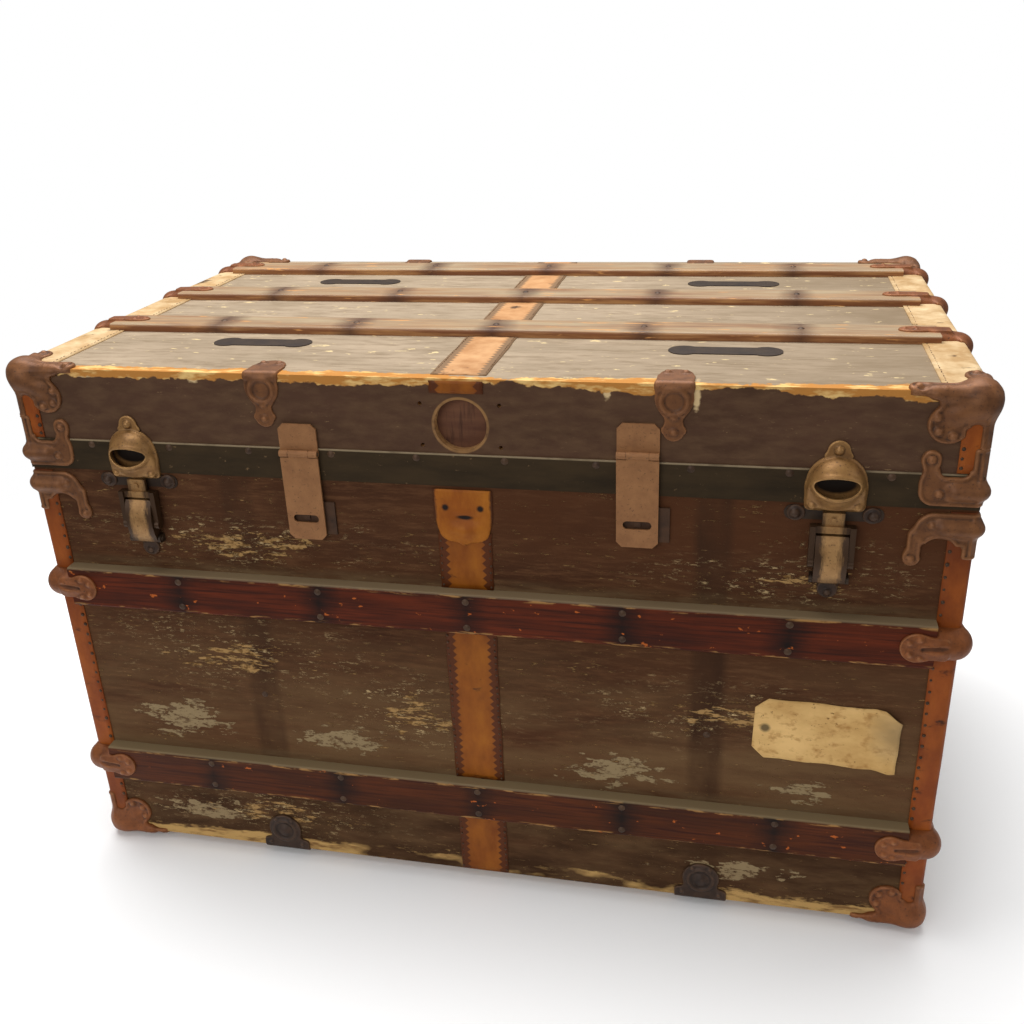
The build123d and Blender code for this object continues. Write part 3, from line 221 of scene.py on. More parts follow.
# %% [markdown]
# ## Old paint on canvas
# The box is covered with canvas that was painted brown. The paint flakes in short level
# streaks, because the cloth was laid with its threads level. Long thin noise gives those
# streaks, and ragged blots place the large bare patches where the real trunk has them.

# %% Where the base's paint has gone
def blots(tree, places, ragged, size, soft):
    """Several stains on the front as one mask; each is x, z and half sizes in millimetres."""
    return either(tree, *[
        stain(tree, (x, FRONT, z), (wide, 90, high), ragged, size, soft, x * 0.017)
        for x, z, wide, high in places])


def eaten(t, where, size, seed, most):
    """Crisp flakes whose number follows a soft mask; most says how many in its middle."""
    noise = patches(t, size, 0.5, 0.36, seed, 8.0, 0.7)
    total = add(t, MATH, (where, most, noise), operation="MULTIPLY_ADD")
    return step(t, total, 1.0, 1.02)


def flake_zone(t):
    """Where flakes gather: under the joint at the left, and over the lower half."""
    return blots(t, [(-235, 392, 215, 44), (-265, 262, 190, 72), (235, 238, 190, 50),
                     (-60, 210, 130, 60), (300, 388, 190, 30), (-250, 55, 230, 40)], 0.9, 24, 0.4)


def flakes(t):
    """Level streaks of lost paint, dense in the zones and thin elsewhere."""
    dense = eaten(t, flake_zone(t), (26, 26, 5.5), 3, 0.5)
    broad = patches(t, (120, 120, 34), 0.5, 0.1, 5)
    thin = both(t, broad, patches(t, (12, 12, 2.6), 0.22, 0.012, 7, 8.0, 0.75))
    return either(t, dense, thin)


def bright_flakes(t):
    """The freshest flakes, small and cream, at the edges of the zones."""
    fine = patches(t, (11, 11, 3.0), 0.3, 0.01, 9, 8.0, 0.78)
    spots = blots(t, [(330, 425, 60, 22), (225, 400, 34, 14)], 0.8, 9, 0.2)
    chosen = either(t, flake_zone(t), spots)
    return both(t, fine, both(t, chosen, patches(t, (70, 70, 22), 0.55, 0.12, 11)))


def bare_patches(t):
    """Large areas rubbed to grey cloth above the lower slat, and along the bottom."""
    whole = blots(t, [(-335, 176, 130, 62), (140, 160, 130, 46), (320, 160, 90, 30),
                      (-150, 166, 110, 34), (-330, 52, 120, 38), (260, 50, 150, 28)], 1.1, 8, 0.3)
    return eaten(t, whole, (44, 44, 10), 29, 0.64)


def red_upper(t):
    """Darker, redder paint over the right half, just under the joint."""
    x = along(t, 0)
    z = along(t, 2)
    return both(t, both(t, step(t, z, 380.0, 430.0), step(t, x, -60.0, 40.0)),
                patches(t, (90, 90, 40), 0.6, 0.25, 26))


def foot_shade(t):
    """Painted shade below the lower slat: the paint there is darker, in patches."""
    return both(t, step(t, along(t, 2), 92.0, 82.0), patches(t, (60, 60, 16), 0.62, 0.2, 28))


def rubbed(t):
    """A broad dull rubbing over the lower half of the front."""
    z = along(t, 2)
    return both(t, step(t, z, 330.0, 180.0), patches(t, (170, 170, 30), 0.55, 0.18, 13))


def bottom_wear(t):
    """Bare wood along the bottom edge, in broken lengths."""
    z = along(t, 2)
    ragged = add(t, MATH, (patches(t, (80, 80, 14), 0.5, 0.25, 14), 17.0), operation="MULTIPLY")
    fine = patches(t, (9, 9, 4), 0.5, 0.3, 15)
    ragged = add(t, MATH, (fine, 6.0, ragged), operation="MULTIPLY_ADD")
    edge = step(t, add(t, MATH, (z, ragged), operation="SUBTRACT"), 12.5, 9.0)
    return both(t, edge, patches(t, (130, 130, 60), 0.66, 0.04, 16))


def dust_above_slats(t):
    """Dust that settles on the canvas just over each slat."""
    z = along(t, 2)
    over = both(t, step(t, z, UPPER_SLAT[1] + 14, UPPER_SLAT[1] + 1),
                step(t, z, UPPER_SLAT[1] - 8, UPPER_SLAT[1] - 2))
    low = both(t, step(t, z, LOWER_SLAT[1] + 12, LOWER_SLAT[1] + 1),
               step(t, z, LOWER_SLAT[1] - 8, LOWER_SLAT[1] - 2))
    return both(t, either(t, over, low), patches(t, (50, 50, 8), 0.55, 0.2, 17))


def ghost_bands(t):
    """Two dark upright bands at the lone rivets, where straps once lay."""
    x = add(t, MATH, (along(t, 0),), operation="ABSOLUTE")
    band = both(t, step(t, x, LONE_RIVET_X - 20, LONE_RIVET_X - 12),
                step(t, x, LONE_RIVET_X + 20, LONE_RIVET_X + 12))
    return both(t, band, patches(t, (40, 40, 90), 0.55, 0.25, 19))


# %% Canvas finish of the base
CANVAS_BASE = finish(
    "painted canvas, flaked in level streaks", "canvas_brown", "4f301b", [
        (((150, 150, 60), 0.5, 0.2, 1), "3c2212"),
        (((30, 30, 4), 0.34, 0.10, 2, 7.0, 0.7), "5b3b24"),
        (red_upper, "4c2b16"),
        (rubbed, "664c31"),
        (ghost_bands, "382213"),
        (dust_above_slats, "6b553b"),
        (foot_shade, "3a2412"),
        (bare_patches, "8a7656"),
        ([bare_patches, ((9, 9, 4), 0.36, 0.03, 4, 7.0, 0.7)], "5d4630"),
        (flakes, "a07d4e"),
        ([flakes, ((7, 7, 5), 0.4, 0.05, 21)], "70512c"),
        (bright_flakes, "d2b482"),
        (bottom_wear, "b8935a"),
        ([bottom_wear, ((26, 26, 6), 0.3, 0.08, 6)], "7d5c36"),
    ], rough=0.85, gloss=0.15, relief=[
        (flakes, -0.5), (bright_flakes, -0.5), (bare_patches, -0.2),
        (((2.2, 2.2, 0.9), 0.5, 0.3, 20), 0.10)])
# The flakes sit a little below the paint, so light catches the broken paint edge.


# %% Where the lid's paint has gone
def top_mask(t):
    """1 on the lid top, 0 on its walls."""
    return step(t, along(t, 2), TOP - 0.9, TOP - 0.2)


def worn_edge(t):
    """Bare ochre wood along the top front edge, wider where a noise is high."""
    y = along(t, 1)
    z = along(t, 2)
    back = add(t, MATH, (y, FRONT), operation="SUBTRACT")
    down = add(t, MATH, (TOP, z), operation="SUBTRACT")
    away = add(t, MATH, (back, add(t, MATH, (down, 1.8), operation="MULTIPLY")), operation="ADD")
    reach = add(t, MATH, (patches(t, (55, 55, 55), 0.62, 0.22, 22), 19.0), operation="MULTIPLY")
    fine = add(t, MATH, (patches(t, (9, 9, 9), 0.5, 0.3, 23), 7.0), operation="MULTIPLY")
    reach = add(t, MATH, (reach, fine), operation="ADD")
    left = add(t, MATH, (reach, away), operation="SUBTRACT")
    return step(t, left, 2.0, 4.0)


def wall_flakes(t):
    """A few level flakes on the lid's walls, most at the right."""
    right = blots(t, [(330, 541, 110, 10), (230, 527, 40, 14)], 0.9, 9, 0.3)
    broad = either(t, right, patches(t, (140, 140, 40), 0.3, 0.1, 37))
    return both(t, broad, patches(t, (10, 10, 2.6), 0.17, 0.015, 36, 8.0, 0.75))


def lid_chips(t):
    """The four long bare chips below the lid's front edge."""
    chips = ((-372, 566, 26, 4), (-257, 566, 8, 8), (136, 563, 5, 11), (213, 558, 5, 16))
    return either(t, *[stain(t, (x, FRONT, z), (wide, 60, high), 0.7, 5, 0.15, x * 0.1)
                       for x, z, wide, high in chips])


def lock_ring(t):
    """The pale cut rim of the canvas round the empty lock hole."""
    place = add(t, "ShaderNodeTexCoord")
    away = add(t, VECTOR, (place.outputs["Object"], (LOCK_X * MM, 0, LOCK_Z * MM)),
               operation="SUBTRACT")
    flat = add(t, VECTOR, (away, (1, 0, 1)), operation="MULTIPLY")
    radius = add(t, VECTOR, (flat,), operation="LENGTH")
    radius = add(t, MATH, (radius.outputs["Value"], MM), operation="DIVIDE")
    on_front = step(t, along(t, 1), 0.0, -50.0)
    return both(t, on_front, step(t, radius, LOCK_RIM + 0.5, LOCK_RIM - 0.5),
                patches(t, (12, 12, 12), 0.75, 0.15, 38))


def top_blotches(t):
    """Pale rubbed clouds on the lid top."""
    return both(t, top_mask(t), patches(t, (120, 60, 60), 0.45, 0.2, 24))


# %% Canvas finish of the lid
CANVAS_LID = finish(
    "painted canvas, smoother, sun-bleached on top", "canvas_brown", "54392a", [
        (((150, 150, 50), 0.5, 0.3, 30), "432d1d"),
        (((26, 26, 9), 0.28, 0.2, 31, 5.0, 0.6), "5e4530"),
        (lock_ring, "8d6840"),
        (wall_flakes, "9a7d58"),
        (top_mask, "8f7e68"),
        (top_blotches, "a6937c"),
        (lambda t: both(t, top_mask(t), both(t, step(t, along(t, 0), 90.0, 380.0),
                                             patches(t, (90, 50, 50), 0.7, 0.3, 39))), "7c6a53"),
        ([top_mask, ((40, 7, 7), 0.30, 0.12, 32, 7.0, 0.7)], "7b6952"),
        ([top_mask, ((20, 8, 8), 0.10, 0.02, 33)], "cdb688"),
        (lid_chips, "cdb183"),
        (worn_edge, "b47a38"),
        ([worn_edge, ((30, 9, 9), 0.38, 0.06, 34)], "dcb673"),
    ], rough=0.8, gloss=0.2, relief=[
        (worn_edge, -0.4), (lid_chips, -0.3),
        (((2.2, 2.2, 0.9), 0.5, 0.3, 35), 0.08)])
# Light has bleached the top to a grey beige, while the walls kept their brown.
print("canvas finishes", CANVAS_BASE.name, "/", CANVAS_LID.name)

# %% [markdown]
# ## Slats, boards and the dark band
# The slats are hardwood, stained red-brown and varnished. Years of knocks chip them to
# orange wood, iron nails stain them black, and dust lies on their upper sides. The band
# that closes the lid's rim is painted sheet iron, nearly black.

# %% Wood finishes
def upper_side(t, heights):
    """The upper side of a front slat, by height in millimetres."""
    z = along(t, 2)
    return either(t, *[both(t, step(t, z, top - 2.2, top - 0.6), step(t, z, top + 2.0, top + 1.0))
                       for top in heights])


def nail_stains(t):
    """Black stains that spread along the grain from the five nail pairs."""
    x = along(t, 0)
    shifted = add(t, MATH, (x, NAIL_PITCH / 2 - FIRST_NAIL), operation="ADD")
    near = add(t, MATH, (shifted, NAIL_PITCH / 2), operation="PINGPONG")
    wide = add(t, MATH, (patches(t, (50, 50, 12), 0.5, 0.3, 40), 22.0), operation="MULTIPLY")
    return step(t, add(t, MATH, (near, wide), operation="ADD"), 64.0, 92.0)


def slat_finish(name, base, dark, dusty, seed):
    """Stained and varnished hardwood with nail stains, knocks and a dusty upper side."""
    return finish(name, "slat_wood", base, [
        (((130, 40, 16), 0.5, 0.22, seed), dark),
        (((90, 8, 3), 0.35, 0.12, seed + 1), "33150a"),
        (nail_stains, "170d09"),
        (((15, 15, 9), 0.055, 0.012, seed + 2), "a8551f"),
        (lambda t: both(t, patches(t, (26, 8, 4), 0.34, 0.04, seed + 3), slat_edges(t)), "9a7140"),
        (lambda t: upper_side(t, (UPPER_SLAT[1], LOWER_SLAT[1])), dusty),
    ], rough=0.5, coat=0.04, gloss=0.1, relief=[
        (((40, 6, 1.6), 0.5, 0.3, seed + 4), 0.08)])


def slat_edges(t):
    """The long edges of the front slats, where the varnish is knocked off."""
    z = along(t, 2)
    gaps = [add(t, MATH, (add(t, MATH, (z, edge), operation="SUBTRACT"),), operation="ABSOLUTE")
            for edge in (*UPPER_SLAT, *LOWER_SLAT)]
    return either(t, *[step(t, gap, 4.5, 2.5) for gap in gaps])


# Varnished slats look wet beside the canvas: red where the varnish holds, black at nails.
SLAT_UPPER = slat_finish("varnished slat, red-brown, nail-stained", "66280f", "3a1608",
                         "75634a", 50)
SLAT_LOWER = slat_finish("varnished slat, browner and dusty", "5a2a0e", "351a09", "7a684c", 60)
# On top the sun took the varnish, so the grain shows dry and pale between dark stains.
SLAT_TOP = finish("varnished slat, bleached on top", "slat_wood", "8a5a34", [
    (((200, 26, 20), 0.5, 0.2, 70), "6a3c20"),
    (((80, 5, 5), 0.35, 0.1, 71), "a8794a"),
    ([lambda t: step(t, along(t, 2), TOP + 6.0, TOP + 7.6), ((160, 20, 20), 0.6, 0.2, 72)],
     "a08c6e"),
    (nail_stains, "4a2c1b"),
    (((45, 7, 5), 0.12, 0.03, 73), "c98f52"),
], rough=0.5, coat=0.08, relief=[(((50, 2.2, 2.2), 0.5, 0.3, 74), 0.12)])
# Inside, planed pine stayed clean: long soft grain in a warm yellow that glows a little.
BARE_WOOD = finish("planed pine, unpainted inside", "bare_wood", "b48a5a", [
    (((190, 12, 12), 0.5, 0.2, 80), "9c7144"),
    (((70, 3, 3), 0.3, 0.1, 81), "7e5833"),
], rough=0.7, relief=[(((60, 2.5, 2.5), 0.5, 0.3, 82), 0.06)])
# Behind the lock hole the same wood has darkened, and reads as a deep red-brown disc.
OLD_WOOD = finish("bare wood behind the lock hole, brown with age", "bare_wood", "6b4630", [
    (((60, 9, 9), 0.5, 0.2, 84), "563424"),
    (((5, 5, 40), 0.25, 0.1, 85), "3c2418"),
], rough=0.75)
# Painted iron gives a flat, dull, nearly black line with a thin pale rim on top.
BAND = finish("sheet iron, black paint worn at its rim", "dark_iron", "3c2f1f", [
    (((60, 60, 14), 0.4, 0.2, 90), "2b2217"),
    (((9, 9, 6), 0.10, 0.03, 91, 7.0, 0.7), "71593e"),
    ([lambda t: step(t, along(t, 2), BAND_TOP - 0.4, BAND_TOP + 0.4),
      ((60, 60, 60), 0.7, 0.1, 92)], "8b7a60"),
], rough=0.7, gloss=0.08, relief=[(((14, 14, 9), 0.5, 0.3, 93), 0.08)])
print("wood finishes", SLAT_UPPER.name, "/", SLAT_LOWER.name, "/", SLAT_TOP.name)

# %% [markdown]
# ## Irons
# The irons were stamped from thin sheet, then lacquered. The lacquer is gone: what shows
# is a soft brown rust, with painted shade in its hollows and a painted highlight on its
# crests. Rust isn't a mirror, so the metal value stays low and the roughness high.

# %% Iron finishes
def painted_hollow_shade(t):
    """Painted shade where the sheet turns inwards: round rivets, in seams and grooves."""
    shape = add(t, "ShaderNodeNewGeometry")
    return step(t, shape.outputs["Pointiness"], 0.492, 0.455)


def painted_crest_highlight(t):
    """Painted highlight, in broken patches, on what stands out: rivet heads, rims and bulbs."""
    shape = add(t, "ShaderNodeNewGeometry")
    high = step(t, shape.outputs["Pointiness"], 0.515, 0.56)
    return both(t, high, patches(t, (9, 9, 9), 0.55, 0.3, 99))


def rusty(name, slot, base, dark, bright, rough=0.5, metal=0.3, seed=100, extra=(), specks=0.12):
    """Thin even rust: slow change of tone, a fine speckle and a very fine grain."""
    return finish(name, slot, base, [
        (((34, 34, 34), 0.5, 0.25, seed), dark),
        (((12, 12, 12), 0.33, 0.25, seed + 1, 6.0, 0.65), bright),
        (((2.0, 2.0, 2.0), specks, 0.08, seed + 2), "3a2417"),
        *extra,
    ], rough=rough, metal=metal, gloss=0.35, relief=[
        (((6, 6, 6), 0.5, 0.4, seed + 3), 0.10),
        (((1.2, 1.2, 1.2), 0.5, 0.4, seed + 4), 0.03)])


# Rust is matte brown, with painted shade in the seams round rivets and a painted tan highlight on
# what stands out.
PAINTED_SHADE_AND_HIGHLIGHT = [(painted_hollow_shade, "24140b"), (painted_crest_highlight, "a06d45")]
RUST = rusty("pressed sheet iron, brown rust", "rust_iron", "6e4426", "4a2c18", "86562f",
             extra=PAINTED_SHADE_AND_HIGHLIGHT)
# Nearer the floor the rust is fresher and redder, and warms the lower edge of the trunk.
RED_RUST = rusty("pressed sheet iron, red rust", "rust_iron", "78431e", "522a12", "8f5227",
                 seed=110, extra=PAINTED_SHADE_AND_HIGHLIGHT)
# Iron that kept its black lacquer reads as a dark cut-out against the brown canvas; it too has
# painted shade in its hollows and a painted highlight on its crests.
DARK_IRON = rusty("pressed sheet iron, nearly black", "dark_iron", "33231a", "1f1510", "4c3627",
                  seed=120, extra=[(painted_hollow_shade, "120b07"), (painted_crest_highlight, "6a4c34")])
# The hasps were rolled smooth, so they are the palest and flattest irons on the front.
HASP_IRON = rusty("rolled strip iron, matte tan rust", "hasp_iron", "8f623b", "7a502f", "9d6e44",
                  0.6, 0.15, 130, specks=0.05)
STAPLE_IRON = rusty("bent wire iron, dark rust", "rust_iron", "3f2817", "2b1b10", "553720",
                    0.6, 0.2, 135)
FLAT_IRON = rusty("sheet iron plates, nearly black", "dark_iron", "2e2018", "1f1510", "40301f",
                  seed=125)


def painted_dome_shade(t):
    """Painted shade: the inside of each latch dome is painted black."""
    return either(t, *[stain(t, (x, FRONT - 5, DOME_Z), (18.5, 15, 9.6), 0.08, 4, 0.12, 5)
                       for x in (-LATCH_X, LATCH_X)])


def painted_lever_shade(t):
    """Painted shade: the levers are darkened at their sides and lower part, leaving the upper
    middle of the face bright.
    """
    side = add(t, MATH, (along(t, 0),), operation="ABSOLUTE")
    across = add(t, MATH, (side, LATCH_X), operation="SUBTRACT")
    across = add(t, MATH, (across,), operation="ABSOLUTE")
    z = along(t, 2)
    ragged = add(t, MATH, (patches(t, (3, 3, 22), 0.5, 0.3, 145), 7.0), operation="MULTIPLY")
    rubbed = both(t, step(t, add(t, MATH, (across, ragged), operation="ADD"), 14.0, 9.0),
                  step(t, add(t, MATH, (z, ragged), operation="SUBTRACT"), 384.0, 400.0))
    return add(t, MATH, (1.0, rubbed), operation="SUBTRACT")


# Cast latches are a brassy tan, with a painted highlight on their crowns and painted black shade
# inside the domes.
LATCH_IRON = rusty("cast latch iron, worn brassy tan", "latch_iron", "906638", "66472a", "a57c48",
                   0.42, 0.4, 140,
                   [(painted_hollow_shade, "3a2413"), (painted_crest_highlight, "b98e58"), (painted_dome_shade, "1d120a")])
# The levers carry painted shade everywhere but the upper middle of their face.
LEVER_IRON = rusty("cast latch lever, painted shade on its sides", "latch_iron", "9c7446", "7c5832",
                   "b28a58", 0.42, 0.4, 142, [(painted_lever_shade, "3f2a18")])
# Nail heads are small dark points; pins stay greyer, because they turn in their eyes.
NAIL_IRON = rusty("iron nail heads, dark", "nail_iron", "3d2a1c", "281a11", "5e432c", seed=150)
PIN_STEEL = rusty("drawn steel pins, dull", "pin_steel", "6e6459", "4f463d", "85796a",
                  0.4, 0.7, 160)
print("iron finishes ready")

# %% [markdown]
# ## Leather and paper
# The edges are bound in vegetable-tanned leather. It is orange where it is sound, darker
# where it was handled and along its stitched rims. On top the sun has bleached it pale.

# %% Leather finishes
def hide(name, slot, base, dark, pale, seed, extra=(), rough=0.55):
    """Tanned leather: slow change of tone, dark spots, and a fine pebbled grain."""
    return finish(name, slot, base, [
        (((60, 60, 90), 0.5, 0.3, seed), dark),
        (((24, 24, 50), 0.3, 0.2, seed + 1), pale),
        (((30, 30, 14), 0.09, 0.05, seed + 2), "2e170a"),
        *extra,
    ], rough=rough, relief=[
        (((3, 3, 3), 0.5, 0.3, seed + 3), 0.10),
        (((20, 20, 6), 0.4, 0.2, seed + 4), 0.10)], gloss=0.2)


def binding_ends(t):
    """Hands and damp have darkened the binding near the floor and the joint."""
    z = along(t, 2)
    low = step(t, z, 80.0, 20.0)
    high = both(t, step(t, z, 395.0, 440.0), step(t, z, 470.0, 466.0))
    return both(t, either(t, low, high), patches(t, (30, 30, 30), 0.6, 0.3, 175))


def strap_rims(t):
    """Dark saw-tooth rims either side of the centre strap."""
    x = add(t, MATH, (along(t, 0),), operation="ABSOLUTE")
    z = along(t, 2)
    y = along(t, 1)
    teeth = add(t, MATH, (add(t, MATH, (z, y), operation="ADD"), 4.0), operation="PINGPONG")
    reach = add(t, MATH, (x, teeth), operation="SUBTRACT")
    return step(t, reach, 15.0, 16.2)


# Vegetable tanning gives the orange that stands out most on the trunk, dark at its ends.
LEATHER = hide("vegetable-tanned leather, orange-brown", "leather", "8a400d", "622a08", "9c5218",
               170, [(binding_ends, "45200c")])
STRAP = hide("vegetable-tanned leather with inked saw-tooth rims", "leather", "86460a", "683307",
             "9c5c14", 180, [(strap_rims, "512608")])
# Sun has taken the tan out of the leather on top, down to cream and a dusty peach.
PALE_LEATHER = hide("leather, bleached by the sun", "leather_pale", "bd9a6c", "9a774a", "d6bd94",
                    190, rough=0.65)
PEACH_STRAP = hide("leather, bleached to peach, inked rims", "leather_pale", "b88556", "9a6c42",
                   "c99c6e", 200, [(strap_rims, "7c6044")], 0.65)
HANDLE_LEATHER = hide("harness leather, dark from hands", "leather", "6a3a1c", "4a2612",
                      "84502a", 210)
# Manila paper is the brightest thing on the front: buff, foxed brown, dirty where it lifts.
PAPER = finish("manila tag paper, foxed", "tag_paper", "deb677", [
    (((50, 50, 30), 0.5, 0.2, 220), "bb9256"),
    (((14, 14, 9), 0.25, 0.08, 221), "a87c44"),
    (((5, 5, 4), 0.08, 0.03, 222), "6e4a24"),
    (lambda t: stain(t, (411, FRONT, 236), (26, 60, 30), 0.5, 8, 0.5, 3), "a5875a"),
    (lambda t: stain(t, (288, FRONT, 230), (5, 60, 5), 0.2, 3, 0.3, 4), "6d5a3a"),
], rough=0.8, relief=[(((16, 16, 12), 0.5, 0.3, 223), 0.25)])
# The tray is pasteboard under a dull printed paper, which gives a soft grey-buff inside.
TRAY_BOARD = finish("pasteboard tray, printed paper lining", "tray_board", "b9a88a", [
    (((80, 80, 80), 0.5, 0.2, 230), "a39072"),
    (((12, 12, 12), 0.15, 0.05, 231), "8c775a"),
], rough=0.85)
TAPE = finish("woven cotton tape", "tape", "c8bb9c", [
    (((2, 2, 2), 0.5, 0.2, 240), "a89a7c")], rough=0.9)
print("leather and paper finishes ready")

# %% [markdown]
# ## Finishes on the flat CAD pieces
# A CAD piece that is carried over only takes a material. The table below is also the
# list of what each board, skin and slat is made of.

# %% Materials of the carried-over pieces
FLAT = {
    BARE_WOOD: "base_front_board base_rear_board base_left_board base_right_board "
               "base_bottom_board lid_top_board lid_front_board lid_rear_board lid_left_board "
               "lid_right_board base_lip tray_runners bottom_runners",
    OLD_WOOD: "lock_backing_board",
    CANVAS_BASE: "base_canvas",
    CANVAS_LID: "lid_canvas",
    SLAT_UPPER: "front_upper_slat rear_slats",
    SLAT_LOWER: "front_lower_slat",
    SLAT_TOP: "top_slat_front top_slat_middle top_slat_rear",
    BAND: "lid_band",
    NAIL_IRON: "base_nails lid_nails",
    FLAT_IRON: "repair_plates latch_plates",
    HASP_IRON: "hasp_plates hasp_leaf_left hasp_leaf_right",
    STAPLE_IRON: "hasp_staples",
    LEVER_IRON: "latch_lever_left latch_lever_right latch_link_left latch_link_right",
    RUST: "hinge_base_leaves hinge_lid_leaves handle_caps",
    PIN_STEEL: "hasp_pins latch_pins hinge_pins",
    TRAY_BOARD: "tray tray_divider",
}


def dress(obj, material):
    """Give an object one material."""
    obj.data.materials.clear()
    obj.data.materials.append(material)


for material, names in FLAT.items():
    for name in names.split():
        dress(nodes[name], material)
print("dressed", sum(len(names.split()) for names in FLAT.values()), "CAD pieces")

# %% [markdown]
# ## Pressed irons from distance fields
# A stamped iron has soft shoulders, bulbs and a rolled rim, and wraps two or three faces
# of the box. Box modelling that by hand for each corner is slow. Here the shape is
# written as a distance: how far a point lies from a ball, a rod or a plate outline.
# Distances join smoothly, as pressed sheet does, and one short routine turns the zero
# level into a closed mesh. The same field, turned round, serves all four corners.

# %% Distance helpers, in millimetres
def meet(a, b, k=1.0):
    """Smooth union of two distances."""
    h = np.maximum(k - np.abs(a - b), 0.0) / k
    return np.minimum(a, b) - h * h * k / 4


def keep(a, b, k=1.0):
    """Smooth intersection."""
    return -meet(-a, -b, k)


def ball(p, centre, radius):
    return np.sqrt(sum((a - c) ** 2 for a, c in zip(p, centre))) - radius


def rod(p, start, end, radius):
    """A round bar with round ends."""
    a = np.array(start, float)
    d = np.array(end, float) - a
    t = sum((q - o) * e for q, o, e in zip(p, a, d)) / float(d @ d)
    t = np.clip(t, 0.0, 1.0)
    return np.sqrt(sum((q - o - t * e) ** 2 for q, o, e in zip(p, a, d))) - radius


def disc(a, b, ca, cb, radius):
    return np.sqrt((a - ca) ** 2 + (b - cb) ** 2) - radius


def panel(a, b, a0, a1, b0, b1, r=0.0):
    """A rectangle with rounded corners, as a flat distance."""
    x = np.abs(a - (a0 + a1) / 2) - (a1 - a0) / 2 + r
    y = np.abs(b - (b0 + b1) / 2) - (b1 - b0) / 2 + r
    return np.hypot(np.maximum(x, 0), np.maximum(y, 0)) + np.minimum(np.maximum(x, y), 0) - r


def outside(u, v, w=None, r=3.0):
    """Distance from the box, whose worn edges have radius r."""
    parts = [r - u, r - v] + ([] if w is None else [r - w])
    far = np.sqrt(sum(np.maximum(q, 0.0) ** 2 for q in parts))
    near = parts[0]
    for q in parts[1:]:
        near = np.maximum(near, q)
    return far + np.minimum(near, 0.0) - r


def plate(away, outline, thick, bead=0.0):
    """Sheet of a thickness on the box, cut to an outline, down to 1 mm in the wood.

    The bead is how far the pressed rim stands above the sheet, just inside the outline."""
    thick = thick + bead * np.exp(-((outline + 2.0) / 1.3) ** 2)
    return keep(np.maximum(away - thick, -1.0 - away), outline, 1.2)


print("distance helpers ready")

# %% [markdown]
# ## From field to mesh
# The field is sampled on a grid. Each grid cell that the surface crosses gets one point,
# at the mean of its crossings, and each crossed grid edge gets one quad between the four
# cells around it. This is called surface nets: it gives an even, closed, all-quad skin.

# %% Surface nets
def net(field, low, high, cell):
    """Closed mesh of the zero level of field(x, y, z), as points and quads."""
    counts = [int(math.ceil((b - a) / cell)) + 1 for a, b in zip(low, high)]
    lines = [a + cell * np.arange(n) for a, n in zip(low, counts)]
    grids = np.meshgrid(*lines, indexing="ij", sparse=True)
    d = np.broadcast_to(field(*grids), counts).astype(float)
    inside = d < 0
    shape = [n - 1 for n in counts]
    total = np.zeros(shape + [3])
    hits = np.zeros(shape)
    for axis in range(3):
        others = [i for i in range(3) if i != axis]
        for s in (0, 1):
            for q in (0, 1):
                start = [slice(0, n) for n in shape]
                start[others[0]] = slice(s, s + shape[others[0]])
                start[others[1]] = slice(q, q + shape[others[1]])
                end = list(start)
                end[axis] = slice(1, shape[axis] + 1)
                a, b = d[tuple(start)], d[tuple(end)]
                cross = (a < 0) != (b < 0)
                t = np.where(cross, a / np.where(cross, a - b, 1.0), 0.0)
                total[..., axis] += t
                total[..., others[0]] += np.where(cross, float(s), 0.0)
                total[..., others[1]] += np.where(cross, float(q), 0.0)
                hits += cross
    live = hits > 0
    index = np.full(shape, -1)
    index[live] = np.arange(int(live.sum()))
    corner = np.stack(np.nonzero(live), axis=1)
    points = np.array(low) + cell * (corner + total[live] / hits[live][:, None])
    quads = []
    for axis in range(3):
        b, c = (axis + 1) % 3, (axis + 2) % 3
        a0 = [slice(1, -1)] * 3
        a1 = [slice(1, -1)] * 3
        a0[axis] = slice(0, counts[axis] - 1)
        a1[axis] = slice(1, counts[axis])
        first, second = inside[tuple(a0)], inside[tuple(a1)]
        spots = np.stack(np.nonzero(first != second), axis=1)
        starts_in = first[tuple(spots.T)]
        offset = np.ones(3, int)
        offset[axis] = 0
        spots = spots + offset
        ring = []
        for db, dc in ((-1, -1), (0, -1), (0, 0), (-1, 0)):
            cell_at = spots.copy()
            cell_at[:, b] += db
            cell_at[:, c] += dc
            ring.append(index[tuple(cell_at.T)])
        quad = np.stack(ring, axis=1)
        quad[~starts_in] = quad[~starts_in][:, ::-1]
        quads.append(quad)
    return points, np.concatenate(quads)


def object_from(name, points, faces, body, material, replaced=()):
    """Put points in millimetres and faces into one object on a body of the frame."""
    mesh = bpy.data.meshes.new(name)
    mesh.from_pydata((np.asarray(points) * MM).tolist(), [], [list(map(int, f)) for f in faces])
    mesh.validate()
    obj = bpy.data.objects.new(name, mesh)
    scene.collection.objects.link(obj)
    mesh.polygons.foreach_set("use_smooth", [True] * len(mesh.polygons))
    dress(obj, material)
    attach(obj, body)
    if replaced:
        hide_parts(*replaced)
    print(name, len(mesh.polygons), "faces")
    return obj


def joined(parts):
    """Several (points, faces) as one, with one list of faces."""
    points, faces, count = [], [], 0
    for p, f in parts:
        points.append(p)
        faces.extend((np.asarray(f) + count).tolist())
        count += len(p)
    return np.concatenate(points), faces


def placed(part, frame_map, flips):
    """A part moved by a function of its points; an odd number of flips turns its faces."""
    points, faces = part
    moved = frame_map(points)
    faces = np.asarray(faces)
    return moved, faces[:, ::-1] if flips % 2 else faces


